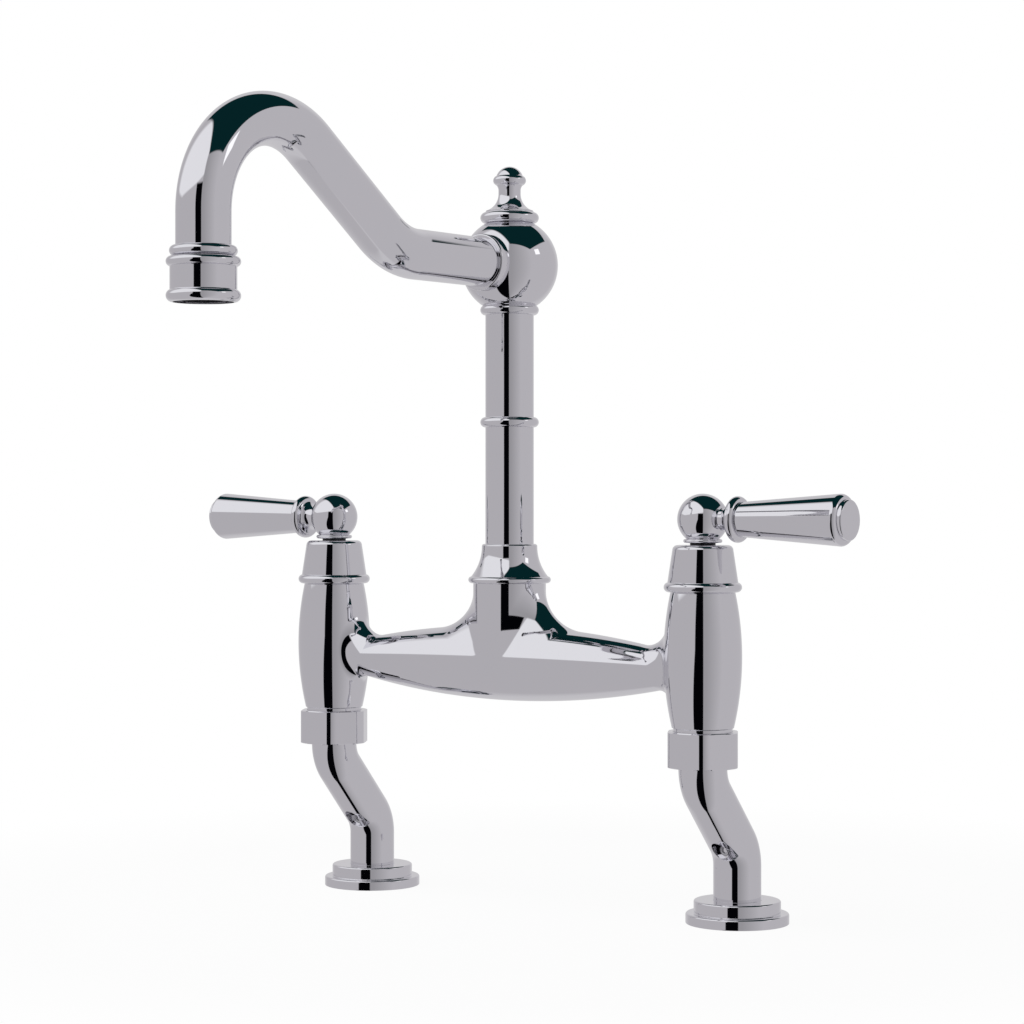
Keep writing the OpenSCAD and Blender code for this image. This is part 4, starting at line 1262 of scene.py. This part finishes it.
WHITE = (1, 1, 1, 1)
FLOOR_HALF, FADE_START, FADE_RATE, LEAST_WHITE = 6, 0.25, 0.3, 0.95
corners = [(x * FLOOR_HALF, y * FLOOR_HALF, 0) for x, y in ((-1, -1), (1, -1), (1, 1), (-1, 1))]
floor_mesh = bpy.data.meshes.new("floor")
floor_mesh.from_pydata(corners, [], [(0, 1, 2, 3)])
floor = put_in_scene(bpy.data.objects.new("floor", floor_mesh))
pale, graph = new_material("pale_floor")
seen, glossy = rays(graph)
where = graph.node("ShaderNodeTexCoord", out="Object")
far = graph.node("ShaderNodeVectorMath", {0: where}, "Value", operation="LENGTH")
share = seen * ((far - FADE_START) * FADE_RATE + LEAST_WHITE).between(LEAST_WHITE, 1.0)
lit = graph.node("ShaderNodeBsdfDiffuse", {"Color": (0.86, 0.86, 0.86, 1)})
white = graph.node("ShaderNodeEmission", {"Color": WHITE, "Strength": 1.0})
both = graph.node("ShaderNodeMixShader", {0: share, 1: lit, 2: white})
clear = graph.node("ShaderNodeBsdfTransparent")
whole = graph.node("ShaderNodeMixShader", {0: glossy, 1: both, 2: clear})
graph.close("ShaderNodeOutputMaterial", whole)
floor_mesh.materials.append(pale)
print("floor:", 2 * FLOOR_HALF, "m wide")

# %% [markdown]
# Chrome shows its surroundings, and a photographer of chrome works with screens: grey walls, a
# black strip that draws the dark lines, a dark ceiling, and a large white card for the pale bands.
# Here the screens are part of the world, as a function of direction alone: the angle round the
# object, counted from the camera's side, and the height over the horizon. They stand still for
# every view. The dark ceiling is a four-sided board on a level plane overhead, and the lower edge
# of the card climbs in a straight line. Behind the faucet the rims of the metal look past the
# screens, and a quarter of the white backdrop shows in them.

# %% Directions in the studio
world = bpy.data.worlds.new("studio")
bpy.context.scene.world = world
world.use_nodes = True
world.node_tree.nodes.clear()
graph = Graph(world.node_tree)
direction = graph.node("ShaderNodeTexCoord", out="Generated")
look = graph.node("ShaderNodeSeparateXYZ", {0: direction})
turn = math.radians(CAMERA_TURN)
ahead = look.out("X") * math.sin(turn) - look.out("Y") * math.cos(turn)
right = look.out("X") * math.cos(turn) + look.out("Y") * math.sin(turn)
up = look.out("Z")
around = right.sum("ARCTAN2", right, ahead) * (180 / math.pi)
above = up.sum("ARCSINE", up) * (180 / math.pi)


def past(value, edge, soft=1.5):
    """Goes from 0 to 1 where a value passes an edge."""
    return ((value - edge) / soft + 0.5).between()


def inside(value, low, high, soft):
    """1 between two edges and 0 outside them."""
    return past(value, low, soft) * (1 - past(value, high, soft))


# %% [markdown]
# Each screen is a number from 0 to 1 over all directions. The grey walls come first, and the other
# screens are laid over them one by one. Camera and glass see plain white in place of it all.

# %% Screens
overhead = up.most(0.02)
forward, sideways = ahead / overhead, right / overhead
ceiling = inside(forward, -0.95, 0.9, 0.05) * past(sideways - forward * 0.41, -0.36, 0.05)
ceiling = ceiling * (1 - past(sideways, 1.35, 0.05)) * past(up, 0.1, 0.05)
strip_left = -27 - (0 - above).most(0) * 0.42
strip = past(around, strip_left) * (1 - past(around, -2.5)) * (1 - past(above, 26, 2))
card_low = (around + 95).most(0) * 0.2 + 13
card = past(above, card_low, 2) * past(around, -122, 14) * (1 - past(around, -2, 4))
lights = inside(around, 68, 82, 1.0) * inside(above, 20, 30, 1.0)
right_half = past(around, -3, 2) * (1 - past(around, 165, 30))
behind = past(around.sum("ABSOLUTE", around), 152, 24) * (1 - ceiling)

# %% Their colours
LEFT_WALL, RIGHT_WALL = (0.516, 0.503, 0.52, 1), (0.37, 0.363, 0.375, 1)
FAR_RIGHT_WALL, CARD = (0.55, 0.537, 0.555, 1), (0.9, 0.9, 0.915, 1)
STRIP, CEILING, LIGHT = (0.001, 0.001, 0.002, 1), (0.002, 0.02, 0.022, 1), (1.25, 1.25, 1.25, 1)
BACKDROP_SHARE = 0.25
right_walls = mix_colour(graph, past(around, 30, 50), RIGHT_WALL, FAR_RIGHT_WALL)
studio = mix_colour(graph, right_half, LEFT_WALL, right_walls)
for place, colour in ((strip, STRIP), (card, CARD), (ceiling, CEILING), (lights, LIGHT)):
    studio = mix_colour(graph, place, studio, colour)
seen, glossy = rays(graph)
shown = mix_colour(graph, seen.most(glossy * behind * BACKDROP_SHARE), studio, WHITE)
sky = graph.node("ShaderNodeBackground", {"Color": shown, "Strength": 1.0})
graph.close("ShaderNodeOutputWorld", sky)
print("studio:", len(world.node_tree.nodes), "nodes")

# %% [markdown]
# One large soft lamp above on the left adds the light of the ceiling, so that plain colours come
# out about as they are written. Mirror metal shows the screens and not this lamp.

# %% Soft lamp
lamp_data = bpy.data.lights.new("soft_lamp", "AREA")
lamp_data.shape = "SQUARE"
lamp_data.size = 1.2
lamp_data.energy = 12
lamp = put_in_scene(bpy.data.objects.new("soft_lamp", lamp_data))
lamp.location = (-0.6, -0.9, 1.6)
towards = Vector((0, -0.03, 0.15)) - lamp.location
lamp.rotation_euler = towards.to_track_quat("-Z", "Y").to_euler()
lamp.visible_glossy = False
print("lamp at", [round(c, 2) for c in lamp.location])
